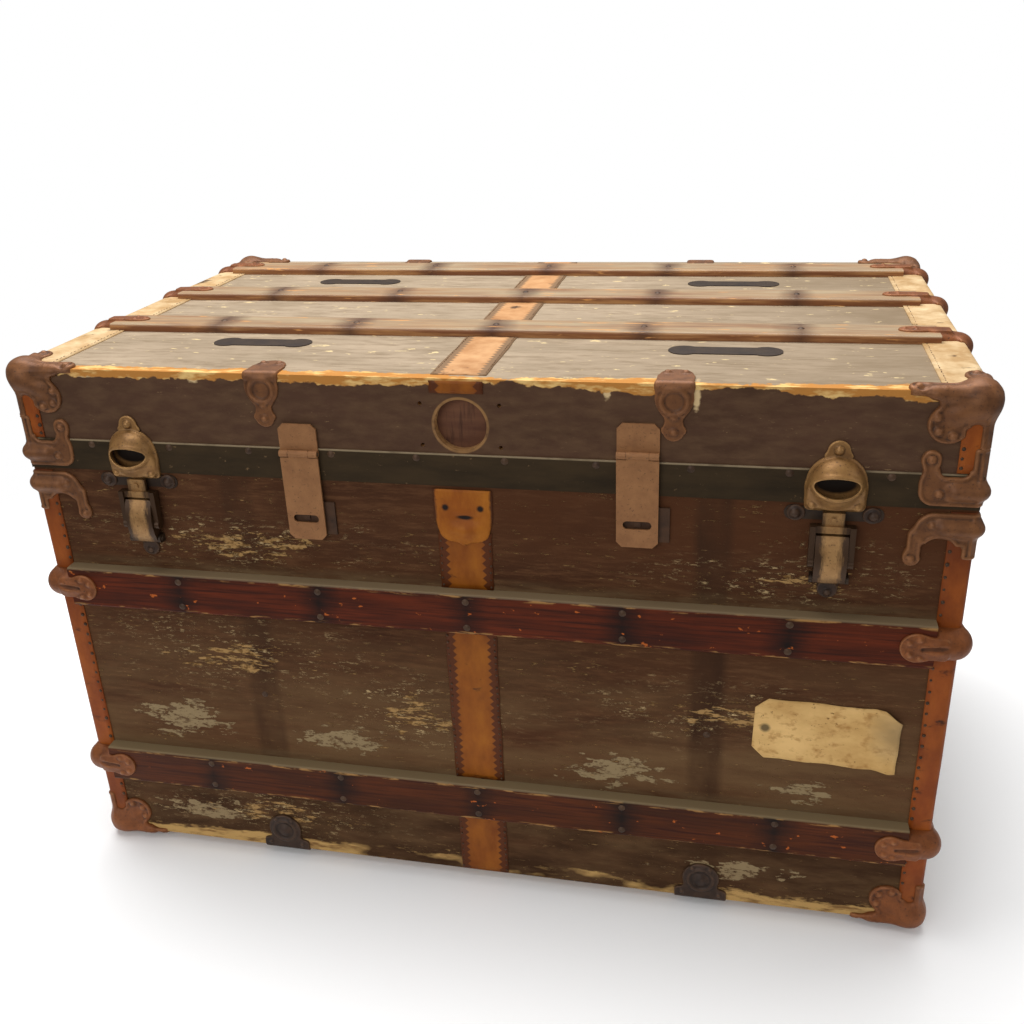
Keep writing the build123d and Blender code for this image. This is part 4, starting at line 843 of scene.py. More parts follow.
def at_corners(part, z_of):
    """A part made in (u in from the end, v in from the front, w) at all four corners."""
    z_flip = 1 if z_of(1.0) < z_of(0.0) else 0
    out = []
    for sx in (-1, 1):
        for rear in (False, True):
            def go(p, sx=sx, rear=rear):
                x = sx * (RIGHT - p[:, 0])
                y = REAR - p[:, 1] if rear else FRONT + p[:, 1]
                return np.stack([x, y, z_of(p[:, 2])], axis=1)
            flips = (1 if sx > 0 else 0) + (1 if rear else 0) + z_flip
            out.append(placed(part, go, flips))
    return joined(out)


print("surface nets ready")

# %% [markdown]
# ## The three-way corner irons
# Each top corner has a round knob where the three faces meet, a rolled ridge along the
# front edge, a lobe with three rivets on the front and a narrow leg down the upright
# edge. The leather shows through the notch between the lobe and the leg.

# %% Three-way corners
IRON_OUT = 3.4
CELL = 1.15


def rivets(p, places, radius=4.1, side="v"):
    """Low round heads on the front (side v), the end (u) or the top (w)."""
    sink = -IRON_OUT + 1.9
    spots = [{"v": (a, sink, b), "u": (sink, a, b), "w": (a, b, sink)}[side] for a, b in places]
    return np.minimum.reduce([ball(p, spot, radius) for spot in spots])


def corner_face(a, w):
    """The outline on an upright face, a in from the edge and w down from the top."""
    lobe = disc(a, w, 32, 28, 17)
    body = panel(a, w, -8, 40, -8, 26, 4)
    leg = panel(a, w, -8, 6, 10, 50, 3)
    notch = panel(a, w, 8, 18, 30, 70, 4)
    return np.maximum(meet(meet(lobe, body, 6), leg, 4), -notch)


def corner_top(u, v):
    """The outline on the lid top: a long tongue along the front and a lobe along the end."""
    tongue = meet(panel(u, v, -8, 50, -8, 14, 3), disc(u, v, 56, 5, 10), 6)
    tail = meet(panel(u, v, -8, 16, -8, 40, 3), disc(u, v, 7, 42, 10), 6)
    return meet(tongue, tail, 8)


def three_way(u, v, w):
    p = (u, v, w)
    away = outside(u, v, w)
    front = plate(away, np.maximum(corner_face(u, w), v - 4), IRON_OUT - 1.0, 1.2)
    end = plate(away, np.maximum(corner_face(v, w), u - 4), IRON_OUT - 1.0, 1.2)
    top = plate(away, np.maximum(corner_top(u, v), w - 4), IRON_OUT - 1.0, 1.2)
    iron = np.minimum(np.minimum(front, end), top)
    iron = meet(iron, ball(p, (9, 9, 9), 18.5), 7)
    iron = meet(iron, rod(p, (44, 1, 2), (16, 2, 3), 6.2), 5)
    iron = meet(iron, rod(p, (1, 36, 2), (2, 16, 3), 6.0), 5)
    iron = meet(iron, rod(p, (14, 3, 12), (27, 4, 20), 8.5), 6)
    iron = meet(iron, rod(p, (3, 14, 12), (4, 27, 20), 8.5), 6)
    iron = meet(iron, rivets(p, [(42, 22), (40, 34), (28, 38)]), 1.2)
    iron = meet(iron, rivets(p, [(42, 22), (40, 34), (28, 38)], side="u"), 1.2)
    iron = meet(iron, rivets(p, [(58, 4), (7, 44)], side="w"), 1.2)
    return np.maximum(iron, -3.0 - away)


points, faces = net(three_way, (-16, -16, -16), (72, 60, 56), CELL)
part = (points, faces)
object_from("top_corner_irons", *at_corners(part, lambda w: TOP - w), "lid", RUST, ["top_corners"])


def foot_corner(u, v, w):
    """The bottom corners are the same pressing, cut off at the floor."""
    return np.maximum(three_way(u, v, w), -8.6 - w)


part = net(foot_corner, (-16, -16, -12), (72, 60, 56), CELL)
object_from("bottom_corner_irons", *at_corners(part, lambda w: BOTTOM + w), "base", RED_RUST,
            ["bottom_corners"])

# %% [markdown]
# ## The irons at the joint
# Lid and base carry a pair of irons at each corner. The upper one has an ear with a nail,
# a deep notch that shows the leather, and a level bulb that bends round the corner. The
# lower one hooks down in an arc to two nails. The bulbs took the knocks when the trunk
# was rolled on its edge.

# %% Joint irons
def ear_face(a, h):
    body = panel(a, h, -8, 50, 3, 36, 13)
    square = panel(a, h, -8, 20, 3, 30, 2)
    ear = meet(disc(a, h, 42, 45, 8.2), panel(a, h, 36, 48, 20, 45, 3), 5)
    leg = panel(a, h, -8, 9, 20, 56, 3)
    notch = panel(a, h, 11, 34, 30, 80, 6)
    whole = meet(meet(np.minimum(body, square), ear, 4), leg, 3)
    return np.maximum(whole, -notch)


def hook_face(a, d):
    body = panel(a, d, -8, 50, 3, 34, 18)
    square = panel(a, d, -8, 24, 3, 24, 2)
    tail = meet(disc(a, d, 49, 47, 7.5), panel(a, d, 42, 54, 20, 47, 5), 6)
    leg = panel(a, d, -8, 9, 20, 46, 3)
    notch = meet(disc(a, d, 27, 42, 15), panel(a, d, 11, 40, 46, 90, 4), 3)
    return np.maximum(meet(meet(np.minimum(body, square), tail, 6), leg, 3), -notch)


def joint_iron(face, nails, bulb):
    def field(u, v, w):
        p = (u, v, w)
        away = outside(u, v)
        front = plate(away, np.maximum(face(u, w), v - 4), IRON_OUT - 1.0, 1.2)
        end = plate(away, np.maximum(face(v, w), u - 4), IRON_OUT - 1.0, 1.2)
        iron = np.minimum(front, end)
        ridge = np.minimum(rod(p, (bulb, 0, 17), (1, 0, 17), 8.2),
                           rod(p, (0, 1, 17), (0, bulb, 17), 8.2))
        iron = meet(iron, ridge, 5)
        iron = meet(iron, rivets(p, nails), 1.2)
        iron = meet(iron, rivets(p, nails, side="u"), 1.2)
        return np.maximum(np.maximum(iron, -3.0 - away), 3.0 - w)
    return field


part = net(joint_iron(ear_face, [(42, 45), (33, 14)], 20), (-12, -12, 0), (58, 58, 62), CELL)
object_from("lid_joint_irons", *at_corners(part, lambda w: JOINT + w), "lid", RUST,
            ["lid_joint_corners"])
part = net(joint_iron(hook_face, [(50, 48), (35, 15)], 26), (-12, -12, 0), (64, 64, 60), CELL)
object_from("base_joint_irons", *at_corners(part, lambda w: JOINT - w), "base", RUST,
            ["base_joint_corners"])

# %% [markdown]
# ## Caps over the slat ends
# A cap grips the end of each slat and folds round the corner like a thumb. It is fuller
# than the slat, because the sheet was raised over a former to clear the wood.

# %% Slat caps
def front_cap(u, v, w):
    """Over a front slat's end; w is measured up from the slat's middle."""
    p = (u, v, w)
    leaf_end = disc(u, w, 37, 0, 14.5)
    leaf = np.maximum(meet(leaf_end, panel(u, w, 10, 34, -11, 11, 3), 5), v - 2)
    leaf = keep(leaf, np.maximum(-v - SLAT_OUT - 2.2, v + 4), 1.2)
    thumb = rod(p, (17, -3, 0), (4, 1, 0), 15.5)
    fold = rod(p, (4, 0, 0), (5, 26, 0), 13.0)
    foot = rod(p, (30, -9, 0), (20, -8, 0), 9.5)
    cap = meet(meet(thumb, fold, 6), foot, 6)
    cap = meet(cap, leaf, 2.5)
    wing = keep(outside(u, v) - IRON_OUT, panel(v, w, -8, 38, -15, 15, 6), 1.2)
    cap = meet(cap, np.maximum(wing, u - 4), 3)
    cap = np.maximum(cap, -(rod(p, (32, -SLAT_OUT - 5.2, 0), (6, -19.5, 3), 3.0)))
    for a, b in ((43, -7), (44, 5), (35, 9), (34, -10)):
        cap = meet(cap, ball(p, (a, -SLAT_OUT - 1.0, b), 3.2), 1.0)
    return np.maximum(cap, -3.0 - outside(u, v))


part = net(front_cap, (-18, -24, -20), (56, 44, 20), CELL)
caps = []
for low, high in (UPPER_SLAT, LOWER_SLAT):
    middle = (low + high) / 2
    caps.append(at_corners(part, lambda w, m=middle: m + w))
object_from("front_slat_caps", *joined(caps), "base", RED_RUST, ["base_slat_clamps"])


def top_cap(u, s, w):
    """Over a top slat's end; s is across the slat and w down from the lid top."""
    p = (u, s, w)
    oval = np.hypot((u - 45) / 1.5, s) - 8.5
    neck = panel(u, s, 10, 40, -7, 7, 3)
    leaf = np.maximum(meet(oval, neck, 5), w - 2)
    leaf = keep(leaf, np.maximum(-w - TOP_SLAT_OUT - 2.0, w + 3), 1.2)
    nose = rod(p, (24, -4, 2), (2, -4, 6), 11.0)
    nose = meet(nose, rod(p, (24, 4, 2), (2, 4, 6), 11.0), 6)
    drop = rod(p, (0, 0, 8), (1, 0, 24), 8.0)
    flat = keep(outside(u, w) - IRON_OUT, panel(w, s, -8, 30, -17, 17, 6), 1.2)
    cap = meet(meet(nose, drop, 8), np.maximum(flat, u - 4), 4)
    cap = meet(cap, leaf, 2.5)
    for a, b in ((52, 0), (42, 4), (42, -4)):
        cap = meet(cap, ball(p, (a, b, -TOP_SLAT_OUT - 0.6), 2.8), 1.0)
    return np.maximum(cap, -3.0 - outside(u, w))


part = net(top_cap, (-14, -20, -18), (62, 20, 36), CELL)
caps = []
for low, high in TOP_SLATS:
    for sx in (-1, 1):
        def go(p, sx=sx, middle=(low + high) / 2):
            return np.stack([sx * (RIGHT - p[:, 0]), middle + p[:, 1], TOP - p[:, 2]], axis=1)
        caps.append(placed(part, go, (1 if sx > 0 else 0) + 1))
object_from("top_slat_caps", *joined(caps), "lid", RED_RUST, ["top_slat_clamps"])

# %% [markdown]
# ## Spoon-shaped irons on the long edges
# These hold the lid top to its front. The bowl sits at the edge with a horseshoe ridge,
# the neck carries a nail, and the foot ends in two small ears.

# %% Edge irons
def spoon(s, v, w):
    p = (s, v, w)
    away = outside(v + 0 * s, w, r=2.0)
    bowl = meet(disc(s, w, 0, 14, 16.5), panel(s, w, -16.5, 16.5, -8, 14), 2)
    neck = panel(s, w, -6, 6, 14, 42, 1)
    foot = meet(disc(s, w, 0, 42, 9.5), panel(s, w, -11, 11, 39, 44, 2), 2)
    face = np.maximum(meet(meet(bowl, neck, 9), foot, 6), v - 4)
    cover = meet(panel(s, v, -16.5, 16.5, -8, 22, 2), disc(s, v, 0, 24, 15), 3)
    cover = np.maximum(cover, w - 4)
    iron = np.minimum(plate(away, face, 2.2), plate(away, cover, 2.2))
    ring = np.hypot(disc(s, w, 0, 15, 11.5), v + 2.2) - 2.4
    ring = np.maximum(ring, 3.0 - w)
    rolled = rod(p, (-13, 1, 2), (13, 1, 2), 4.6)
    iron = meet(meet(iron, ring, 2), rolled, 3)
    for a, b, c in ((0, -0.9, 29), (0, -0.9, 43), (-8, 28, -0.9), (8, 28, -0.9)):
        iron = meet(iron, ball(p, (a, b, c), 3.9), 1.0)
    return np.maximum(iron, -1.0 - away)


def along_front(part, places, z_of):
    """A part made in (s, v, w) at X places, on the front and turned round to the rear."""
    z_flip = 1 if z_of(1.0) < z_of(0.0) else 0
    out = []
    for x in places:
        def front(p, x=x):
            return np.stack([x + p[:, 0], FRONT + p[:, 1], z_of(p[:, 2])], axis=1)

        def rear(p, x=x):
            return np.stack([-x - p[:, 0], REAR - p[:, 1], z_of(p[:, 2])], axis=1)
        out.append(placed(part, front, z_flip))
        out.append(placed(part, rear, z_flip))
    return joined(out)


part = net(spoon, (-20, -8, -8), (20, 44, 56), 1.0)
object_from("edge_irons", *along_front(part, (-188.0, 194.0), lambda w: TOP - w), "lid", RUST,
            ["top_edge_clamps"])


def foot_iron(s, v, w):
    """The dark iron on the bottom edge, flared at its foot."""
    p = (s, v, w)
    away = outside(v + 0 * s, w, r=2.0)
    face = meet(disc(s, w, 0, 26, 19), panel(s, w, -27, 27, -8, 12, 4), 10)
    under = panel(s, v, -20, 20, -8, 22, 4)
    iron = np.minimum(plate(away, np.maximum(face, v - 4), 2.4),
                      plate(away, np.maximum(under, w - 4), 1.8))
    iron = meet(iron, np.hypot(disc(s, w, 0, 25, 13), v + 2.2) - 2.2, 2)
    iron = meet(iron, ball(p, (0, 3, 25), 9.5), 3)
    for a, b in ((-19, 7), (19, 7), (-9, 39), (9, 39)):
        iron = meet(iron, ball(p, (a, -1.4, b), 3.0), 1.0)
    return np.maximum(iron, -1.0 - away)


part = net(foot_iron, (-31, -11, -8), (31, 30, 50), 1.0)
object_from("foot_irons", *along_front(part, (-233.0, 233.0), lambda w: BOTTOM + w), "base",
            DARK_IRON, ["bottom_edge_clamps"])

# %% [markdown]
# ## The latch domes
# The hollow dome catches the latch's tongue. It has a thick rolled lip round an oval
# mouth, a bell-shaped flange with two rivets, and a fan-shaped tab with a third.

# %% Latch domes

def dome(s, o, h):
    """s across, o out from the lid front, h up from the dome's middle."""
    p = (s, o, h)
    sphere = ball(p, (0, -4, 0), 25.0)
    skirt = panel(s, h, -25, 25, -25.5, 2, 3)
    bell = meet(disc(s, h, 0, 0, 25.5), skirt, 3)
    flange = keep(bell, np.abs(o - 1.6) - 1.2, 0.8)
    tab = meet(disc(s, h, 0, 29, 9.5), panel(s, h, -12, 12, 22, 27, 3), 4)
    flange = np.minimum(flange, keep(tab, np.abs(o - 1.6) - 1.2, 0.8))
    skirt_body = keep(panel(s, h, -24, 24, -23, 0, 6), np.abs(o - 4.0) - 3.5, 3.0)
    shell = meet(meet(sphere, flange, 2), skirt_body, 6)
    hollow = np.maximum(ball(p, (0, -4, 0), 22.4), 3.2 - o)
    shell = np.maximum(shell, -hollow)
    k = np.sqrt((s / 19.5) ** 2 + ((h - 0.5) / 9.8) ** 2) + 1e-6
    slope = np.sqrt((s / 19.5 ** 2) ** 2 + ((h - 0.5) / 9.8 ** 2) ** 2) + 1e-6
    oval = (k - 1.0) * k / slope
    shell = np.maximum(shell, -np.maximum(oval, 3.2 - o))
    on_ball = np.sqrt(s ** 2 + (o + 4) ** 2 + h ** 2) - 24.0
    lip = np.hypot(oval - 1.2, on_ball) - 1.9
    shell = meet(shell, np.maximum(lip, 5.0 - o), 1.5)
    for a, o_in, b in ((-19, 5.6, -20), (19, 5.6, -20), (0, 2.6, 30)):
        shell = meet(shell, ball(p, (a, o_in, b), 4.0), 1.0)
    return np.maximum(shell, 0.5 - o)


def at_latches(part, height):
    """A part made in (across, out, up) at both latches, above a height."""
    out = []
    for x in (-LATCH_X, LATCH_X):
        def go(p, x=x):
            return np.stack([x + p[:, 0], FRONT - p[:, 1], height + p[:, 2]], axis=1)
        out.append(placed(part, go, 1))
    return joined(out)


part = net(dome, (-29, -2, -29), (29, 26, 42), 0.85)
object_from("latch_dome_shells", *at_latches(part, DOME_Z), "lid", LATCH_IRON, ["latch_domes"])

# %% [markdown]
# ## Ears and feet of the latches
# The lever hangs on a plate whose two ears and round foot are riveted to the box. The
# CAD plate is flat. These pressed bosses with their rivets lie over it.

# %% Latch ears
def ears(s, o, h):
    """s across, o out from the base's front, h up from the joint."""
    p = (s, o, h)
    iron = keep(disc(s, h, 0, -82, 9.2), o - 2.4, 1.2)
    iron = meet(iron, ball(p, (0, 1.4, -85), 3.8), 1.0)
    for side in (-1, 1):
        ear = meet(disc(s, h, 32 * side, -9, 7.6), panel(side * s, h, 24.5, 33, -13.5, -4.5, 3), 2)
        ear = keep(ear, o - 2.6, 1.2)
        iron = np.minimum(iron, meet(ear, ball(p, (33 * side, 1.6, -9), 5.0), 1.2))
    return np.maximum(iron, -0.4 - o)


part = net(ears, (-42, -2, -96), (42, 9, 2), 0.9)
object_from("latch_ear_irons", *at_latches(part, JOINT), "base", DARK_IRON)

# %% [markdown]
# ## Leather that bends round edges
# Leather isn't a perfect strip: it rises a little from the board, and its rim is cut by
# hand. Each strip is a grid of points given a thickness and a very slight wander, and is
# closed all round, so that it can be printed or simulated as it stands.

# %% Sheets with thickness
def slab(outer, inner):
    """Closed mesh between two grids of points of the same shape."""
    m, n = outer.shape[:2]
    points = np.concatenate([outer.reshape(-1, 3), inner.reshape(-1, 3)])
    k = m * n
    at = np.arange(k).reshape(m, n)
    a, b, c, d = at[:-1, :-1], at[1:, :-1], at[1:, 1:], at[:-1, 1:]
    faces = [np.stack([a, b, c, d], -1).reshape(-1, 4),
             np.stack([d, c, b, a], -1).reshape(-1, 4) + k]
    rim = np.concatenate([at[:, 0], at[-1, 1:], at[-2::-1, -1], at[0, -2:0:-1]])
    following = np.roll(rim, -1)
    faces.append(np.stack([following, rim, rim + k, following + k], -1))
    return points, np.concatenate(faces)


def wander(shape, size, cells=9, seed=1):
    """Smooth random heights over a grid, in millimetres."""
    source = np.random.default_rng(seed).normal(0, size, (cells + 1, cells + 1))
    rows = np.linspace(0, cells, shape[0])
    cols = np.linspace(0, cells, shape[1])
    across = np.stack([np.interp(cols, range(cells + 1), line) for line in source])
    return np.stack([np.interp(rows, range(cells + 1), across[:, j]) for j in range(shape[1])], 1)


def outward(part):
    """Turn all faces if the mesh's volume is negative, so that they face outwards."""
    points, faces = part
    p = points[faces]
    volume = np.einsum("ij,ij->i", p[:, 0], np.cross(p[:, 1], p[:, 2])).sum()
    volume += np.einsum("ij,ij->i", p[:, 0], np.cross(p[:, 2], p[:, 3])).sum()
    return points, faces if volume > 0 else faces[:, ::-1]


def edge_path(reach_u, reach_v, radius, lift, count=4):
    """Points (u, v) round an upright edge, lift out from the box."""
    start = [(u, -lift) for u in np.linspace(reach_u, radius, count)]
    bend = [(radius - (radius + lift) * math.sin(t), radius - (radius + lift) * math.cos(t))
            for t in np.linspace(0.2, math.pi / 2 - 0.2, 4)]
    end = [(-lift, v) for v in np.linspace(radius, reach_v, count)]
    return np.array(start + bend + end)


def binding(z0, z1, seed):
    """The leather round one upright edge, in (u, v, w=z)."""
    rows = max(6, int((z1 - z0) / 8))
    zs = np.linspace(z0, z1, rows)
    out = edge_path(21.0, 21.0, 3.0, 1.5)
    low = edge_path(21.0, 21.0, 3.0, -0.6)
    raised = wander((rows, len(out)), 0.14, 9, seed)
    grid = np.zeros((rows, len(out), 3))
    grid[..., 0] = out[None, :, 0] - 0.7 * raised
    grid[..., 1] = out[None, :, 1] - 0.7 * raised
    grid[..., 2] = zs[:, None]
    under = np.zeros_like(grid)
    under[..., 0] = low[None, :, 0]
    under[..., 1] = low[None, :, 1]
    under[..., 2] = zs[:, None]
    return outward(slab(grid, under))


object_from("edge_leather", *at_corners(binding(BOTTOM + 1, JOINT - 2, 3), lambda z: z), "base",
            LEATHER, ["edge_bindings"])

# %% [markdown]
# ## Leather on the lid's ends
# On the lid a wider strip runs over each top end edge and a short strip goes down each
# upright edge. It has bleached to a pale tan, so it takes its own finish.

# %% End bindings
def end_strip():
    """Over the top end edge of the right end, in row millimetres."""
    ys = np.linspace(FRONT + 1, REAR - 1, 60)
    path = [(x, TOP + 1.4) for x in np.linspace(RIGHT - 38, RIGHT - 4, 5)]
    path += [(RIGHT - 2 + 3.4 * math.sin(t), TOP - 2 + 3.4 * math.cos(t)) for t in (0.4, 0.8, 1.2)]
    path += [(RIGHT + 1.4, z) for z in np.linspace(TOP - 4, TOP - 18, 4)]
    low = [(x, TOP - 0.6) for x in np.linspace(RIGHT - 38, RIGHT - 4, 5)]
    low += [(RIGHT - 2 + 1.4 * math.sin(t), TOP - 2 + 1.4 * math.cos(t)) for t in (0.4, 0.8, 1.2)]
    low += [(RIGHT - 0.6, z) for z in np.linspace(TOP - 4, TOP - 18, 4)]
    path, low = np.array(path), np.array(low)
    grid = np.zeros((len(ys), len(path), 3))
    grid[..., 0] = path[None, :, 0]
    grid[..., 1] = ys[:, None]
    grid[..., 2] = path[None, :, 1] + wander((len(ys), len(path)), 0.12, 9, 5)
    under = np.zeros_like(grid)
    under[..., 0] = low[None, :, 0]
    under[..., 1] = ys[:, None]
    under[..., 2] = low[None, :, 1]
    return outward(slab(grid, under))


strip = end_strip()
mirror = (strip[0] * np.array([-1, 1, 1]), strip[1][:, ::-1])
object_from("lid_end_leather", *joined([strip, mirror]), "lid", PALE_LEATHER, ["end_bindings"])
object_from("lid_edge_leather", *at_corners(binding(LID + 33, TOP - 14, 8), lambda z: z), "lid",
            LEATHER)

# %% [markdown]
# ## The centre strap
# A leather strap runs up the front under the slats and over the lid. On the front it ends
# below the joint in a thicker shield-shaped tab with two empty holes, where a buckle strap
# was torn off. Its rims carry a saw-tooth line, which the finish above draws.

# %% Straps
def strap_front(z0, z1, half, out, seed):
    rows = max(5, int((z1 - z0) / 5))
    zs = np.linspace(z0, z1, rows)
    across = np.linspace(-1, 1, 13)
    x = across[None, :] * half + wander((rows, 1), 0.35, 9, seed)
    z = zs[:, None] + 0 * x
    rise = out + wander((rows, 13), 0.15, 9, seed + 1)
    outer = np.stack([x, FRONT - rise, z], -1)
    inner = np.stack([x, FRONT + 0.5 + 0 * x, z], -1)
    return outward(slab(outer, inner))


pieces = [strap_front(BOTTOM + 1, LOWER_SLAT[0], STRAP_HALF, 1.0, 11),
          strap_front(LOWER_SLAT[1], UPPER_SLAT[0], STRAP_HALF, 1.0, 13),
          strap_front(UPPER_SLAT[1], 420.0, STRAP_HALF, 1.0, 15)]
object_from("front_strap_leather", *joined(pieces), "base", STRAP, ["front_strap"])


def tab(low, high):
    """The shield-shaped tab: thick, with a dent over a swelling, and a notched foot."""
    rows = 27
    t = np.linspace(0, 1, rows)[:, None]
    across = np.linspace(-1, 1, 25)[None, :]
    half = 22.0 + 6.5 * np.clip(t / 0.45, 0, 1) ** 0.7
    x = across * half
    foot = low + 5.0 * np.abs(across) ** 3 - 3.0 * np.clip(1 - np.abs(across) / 0.3, 0, 1)
    z = foot + t * (high - foot)
    rise = 2.3 + wander((rows, 25), 0.25, 9, 18)
    rise = rise + 4.2 * np.exp(-(x / 13) ** 2 - ((z - low - 13) / 7) ** 2)
    rise = rise - 2.4 * np.exp(-(x / 10) ** 2 - ((z - low - 25) / 4) ** 2)
    rise = rise - 1.2 * np.clip((np.abs(across) - 0.86) / 0.14, 0, 1)
    outer = np.stack([x, FRONT - np.maximum(rise, 0.6), z], -1)
    inner = np.stack([x, FRONT + 0.5 + 0 * x, z], -1)
    return outward(slab(outer, inner))


def painted_tab_hole_shade(t):
    """Painted shade: dark discs for the two empty holes near the tab's upper corners, and a dark
    blot in the dent.
    """
    return blots(t, [(-17, 446, 3.4, 3.4), (17, 446, 3.4, 3.4), (1, 436, 8, 2.4)], 0.15, 2, 0.3)


def tab_rim(t):
    """The handled, darkened rim of the tab."""
    x = add(t, MATH, (along(t, 0),), operation="ABSOLUTE")
    ragged = add(t, MATH, (patches(t, (9, 9, 9), 0.5, 0.3, 27), 3.0), operation="MULTIPLY")
    return step(t, add(t, MATH, (x, ragged), operation="ADD"), 26.5, 29.0)


# The two holes are not cut but painted shade, and the dent is darkened with painted shade.
TAB = hide("thick leather tab, torn holes", "leather", "944f0c", "703707", "b06c19", 186,
           [(tab_rim, "4a260f"), (painted_tab_hole_shade, "1a0e07")])
object_from("strap_tab", *tab(410.0, 464.0), "base", TAB)


def strap_top(y0, y1, seed):
    rows = max(5, int((y1 - y0) / 6))
    y = np.linspace(y0, y1, rows)[:, None]
    x = np.linspace(-STRAP_HALF, STRAP_HALF, 13)[None, :] + wander((rows, 1), 0.4, 9, seed)
    rise = 0.9 + wander((rows, 13), 0.12, 9, seed + 1)
    outer = np.stack([x, y + 0 * x, TOP + rise], -1)
    inner = np.stack([x, y + 0 * x, TOP - 0.5 + 0 * x], -1)
    return outward(slab(outer, inner))


spans = zip([FRONT + 11] + [s[1] for s in TOP_SLATS], [s[0] for s in TOP_SLATS] + [REAR - 6])
pieces = [strap_top(y0, y1, 20 + i) for i, (y0, y1) in enumerate(spans) if y1 - y0 > 8]
object_from("lid_strap_leather", *joined(pieces), "lid", PEACH_STRAP, ["top_straps"])
patch = strap_front(557.5, 569.0, 25, 1.0, 31)
object_from("lid_front_patch", *patch, "lid", STRAP)

# %% [markdown]
# ## The address tag
# A manila tag, clipped at its left corners, glued flat but lifting at its right end. It
# is left bare. Its crumple is a sum of ridges that fade towards the flat end.

# %% Address tag
def tag():
    cols, rows = 44, 24
    s = np.linspace(-67, 67, cols)[None, :]
    t = np.linspace(-1, 1, rows)[:, None]
    clip = np.clip((-55 - s) / 12, 0, 1) * 12
    corner = np.clip((s - 52) / 15, 0, 1) * 10
    top = 34 - clip - corner - 0.6 * np.sin(s / 9)
    low = -34 + clip + 0.5 * np.sin(s / 7 + 1)
    h = low + (t + 1) / 2 * (top - low)
    fade = np.clip((s - 22) / 40, 0, 1)
    ridge = np.abs(((s * 0.9 + h * 0.8) / 13.0) % 2 - 1) * 3.6
    cross = np.abs(((s * 0.5 - h * 1.1) / 17.0) % 2 - 1) * 2.2
    rise = 0.7 + fade * (ridge + cross) + 0.25 * np.sin(s / 21) ** 2
    turn = math.radians(-1.5)
    x = 344 + s * math.cos(turn) - h * math.sin(turn)
    z = 228 + s * math.sin(turn) + h * math.cos(turn)
    outer = np.stack([x, FRONT - rise, z], -1)
    inner = np.stack([x, FRONT - rise + 0.45, z], -1)
    return outward(slab(outer, inner))


object_from("manila_tag", *tag(), "base", PAPER, ["address_label"])

# %% [markdown]
# ## Handles and tapes
# Each end has a leather handle, bowed out between two iron-capped feet. The photograph
# doesn't show them, so they follow what such trunks have: thick harness leather, fuller
# in the middle.

# %% Handles
def handle_leather(side):
    cols = 33
    t = np.linspace(-1, 1, cols)
    y = MIDDLE + t * 129
    arch = np.clip(1 - (np.abs(t) * 129 / 95) ** 2, 0, 1)
    out = 3.0 + 30.0 * arch
    ring = 12
    around = np.linspace(0, 2 * math.pi, ring, endpoint=False)
    thick = 2.9 + 1.2 * arch
    wide = 14.6 - 2.0 * arch
    x = side * (RIGHT + out[:, None] + thick[:, None] * np.cos(around)[None, :])
    z = HANDLE_Z + wide[:, None] * np.sin(around)[None, :]
    rows = np.stack([x, y[:, None] + 0 * x, z], -1)
    points = rows.reshape(-1, 3)
    at = np.arange(cols * ring).reshape(cols, ring)
    following = np.roll(at, -1, axis=1)
    faces = np.stack([at[:-1], at[1:], following[1:], following[:-1]], -1).reshape(-1, 4).tolist()
    faces.append(at[0].tolist())
    faces.append(at[-1][::-1].tolist())
    return points, faces if side > 0 else [face[::-1] for face in faces]


for side, name in ((-1, "left"), (1, "right")):
    object_from("handle_leather_" + name, *handle_leather(side), "base", HANDLE_LEATHER,
                ["handle_" + name])


def tape(side):
    y = np.linspace(MIDDLE - 12.5, MIDDLE + 12.5, 7)[:, None]
    z = np.linspace(396, 454.5, 14)[None, :]
    x = 427.0 - 0.6 * np.abs(np.sin(z / 9.0)) + 0 * y
    outer = np.stack([side * (x - 0.9), y + 0 * x, z + 0 * x], -1)
    inner = np.stack([side * (x + 0.6), y + 0 * x, z + 0 * x], -1)
    return outward(slab(outer, inner))


object_from("tray_tape_loops", *joined([tape(-1), tape(1)]), "tray", TAPE, ["tray_tapes"])

# %% [markdown]
# ## Rows of nails and stitches with Geometry Nodes
# Hundreds of small brass-headed nails hold the leather. They repeat, so a node tree sets
# them out: it walks along guide lines, drops a head every few millimetres, turns it along
# the line, and shifts and scales each a little. The result is baked to a plain mesh, one for each
# set of rows.

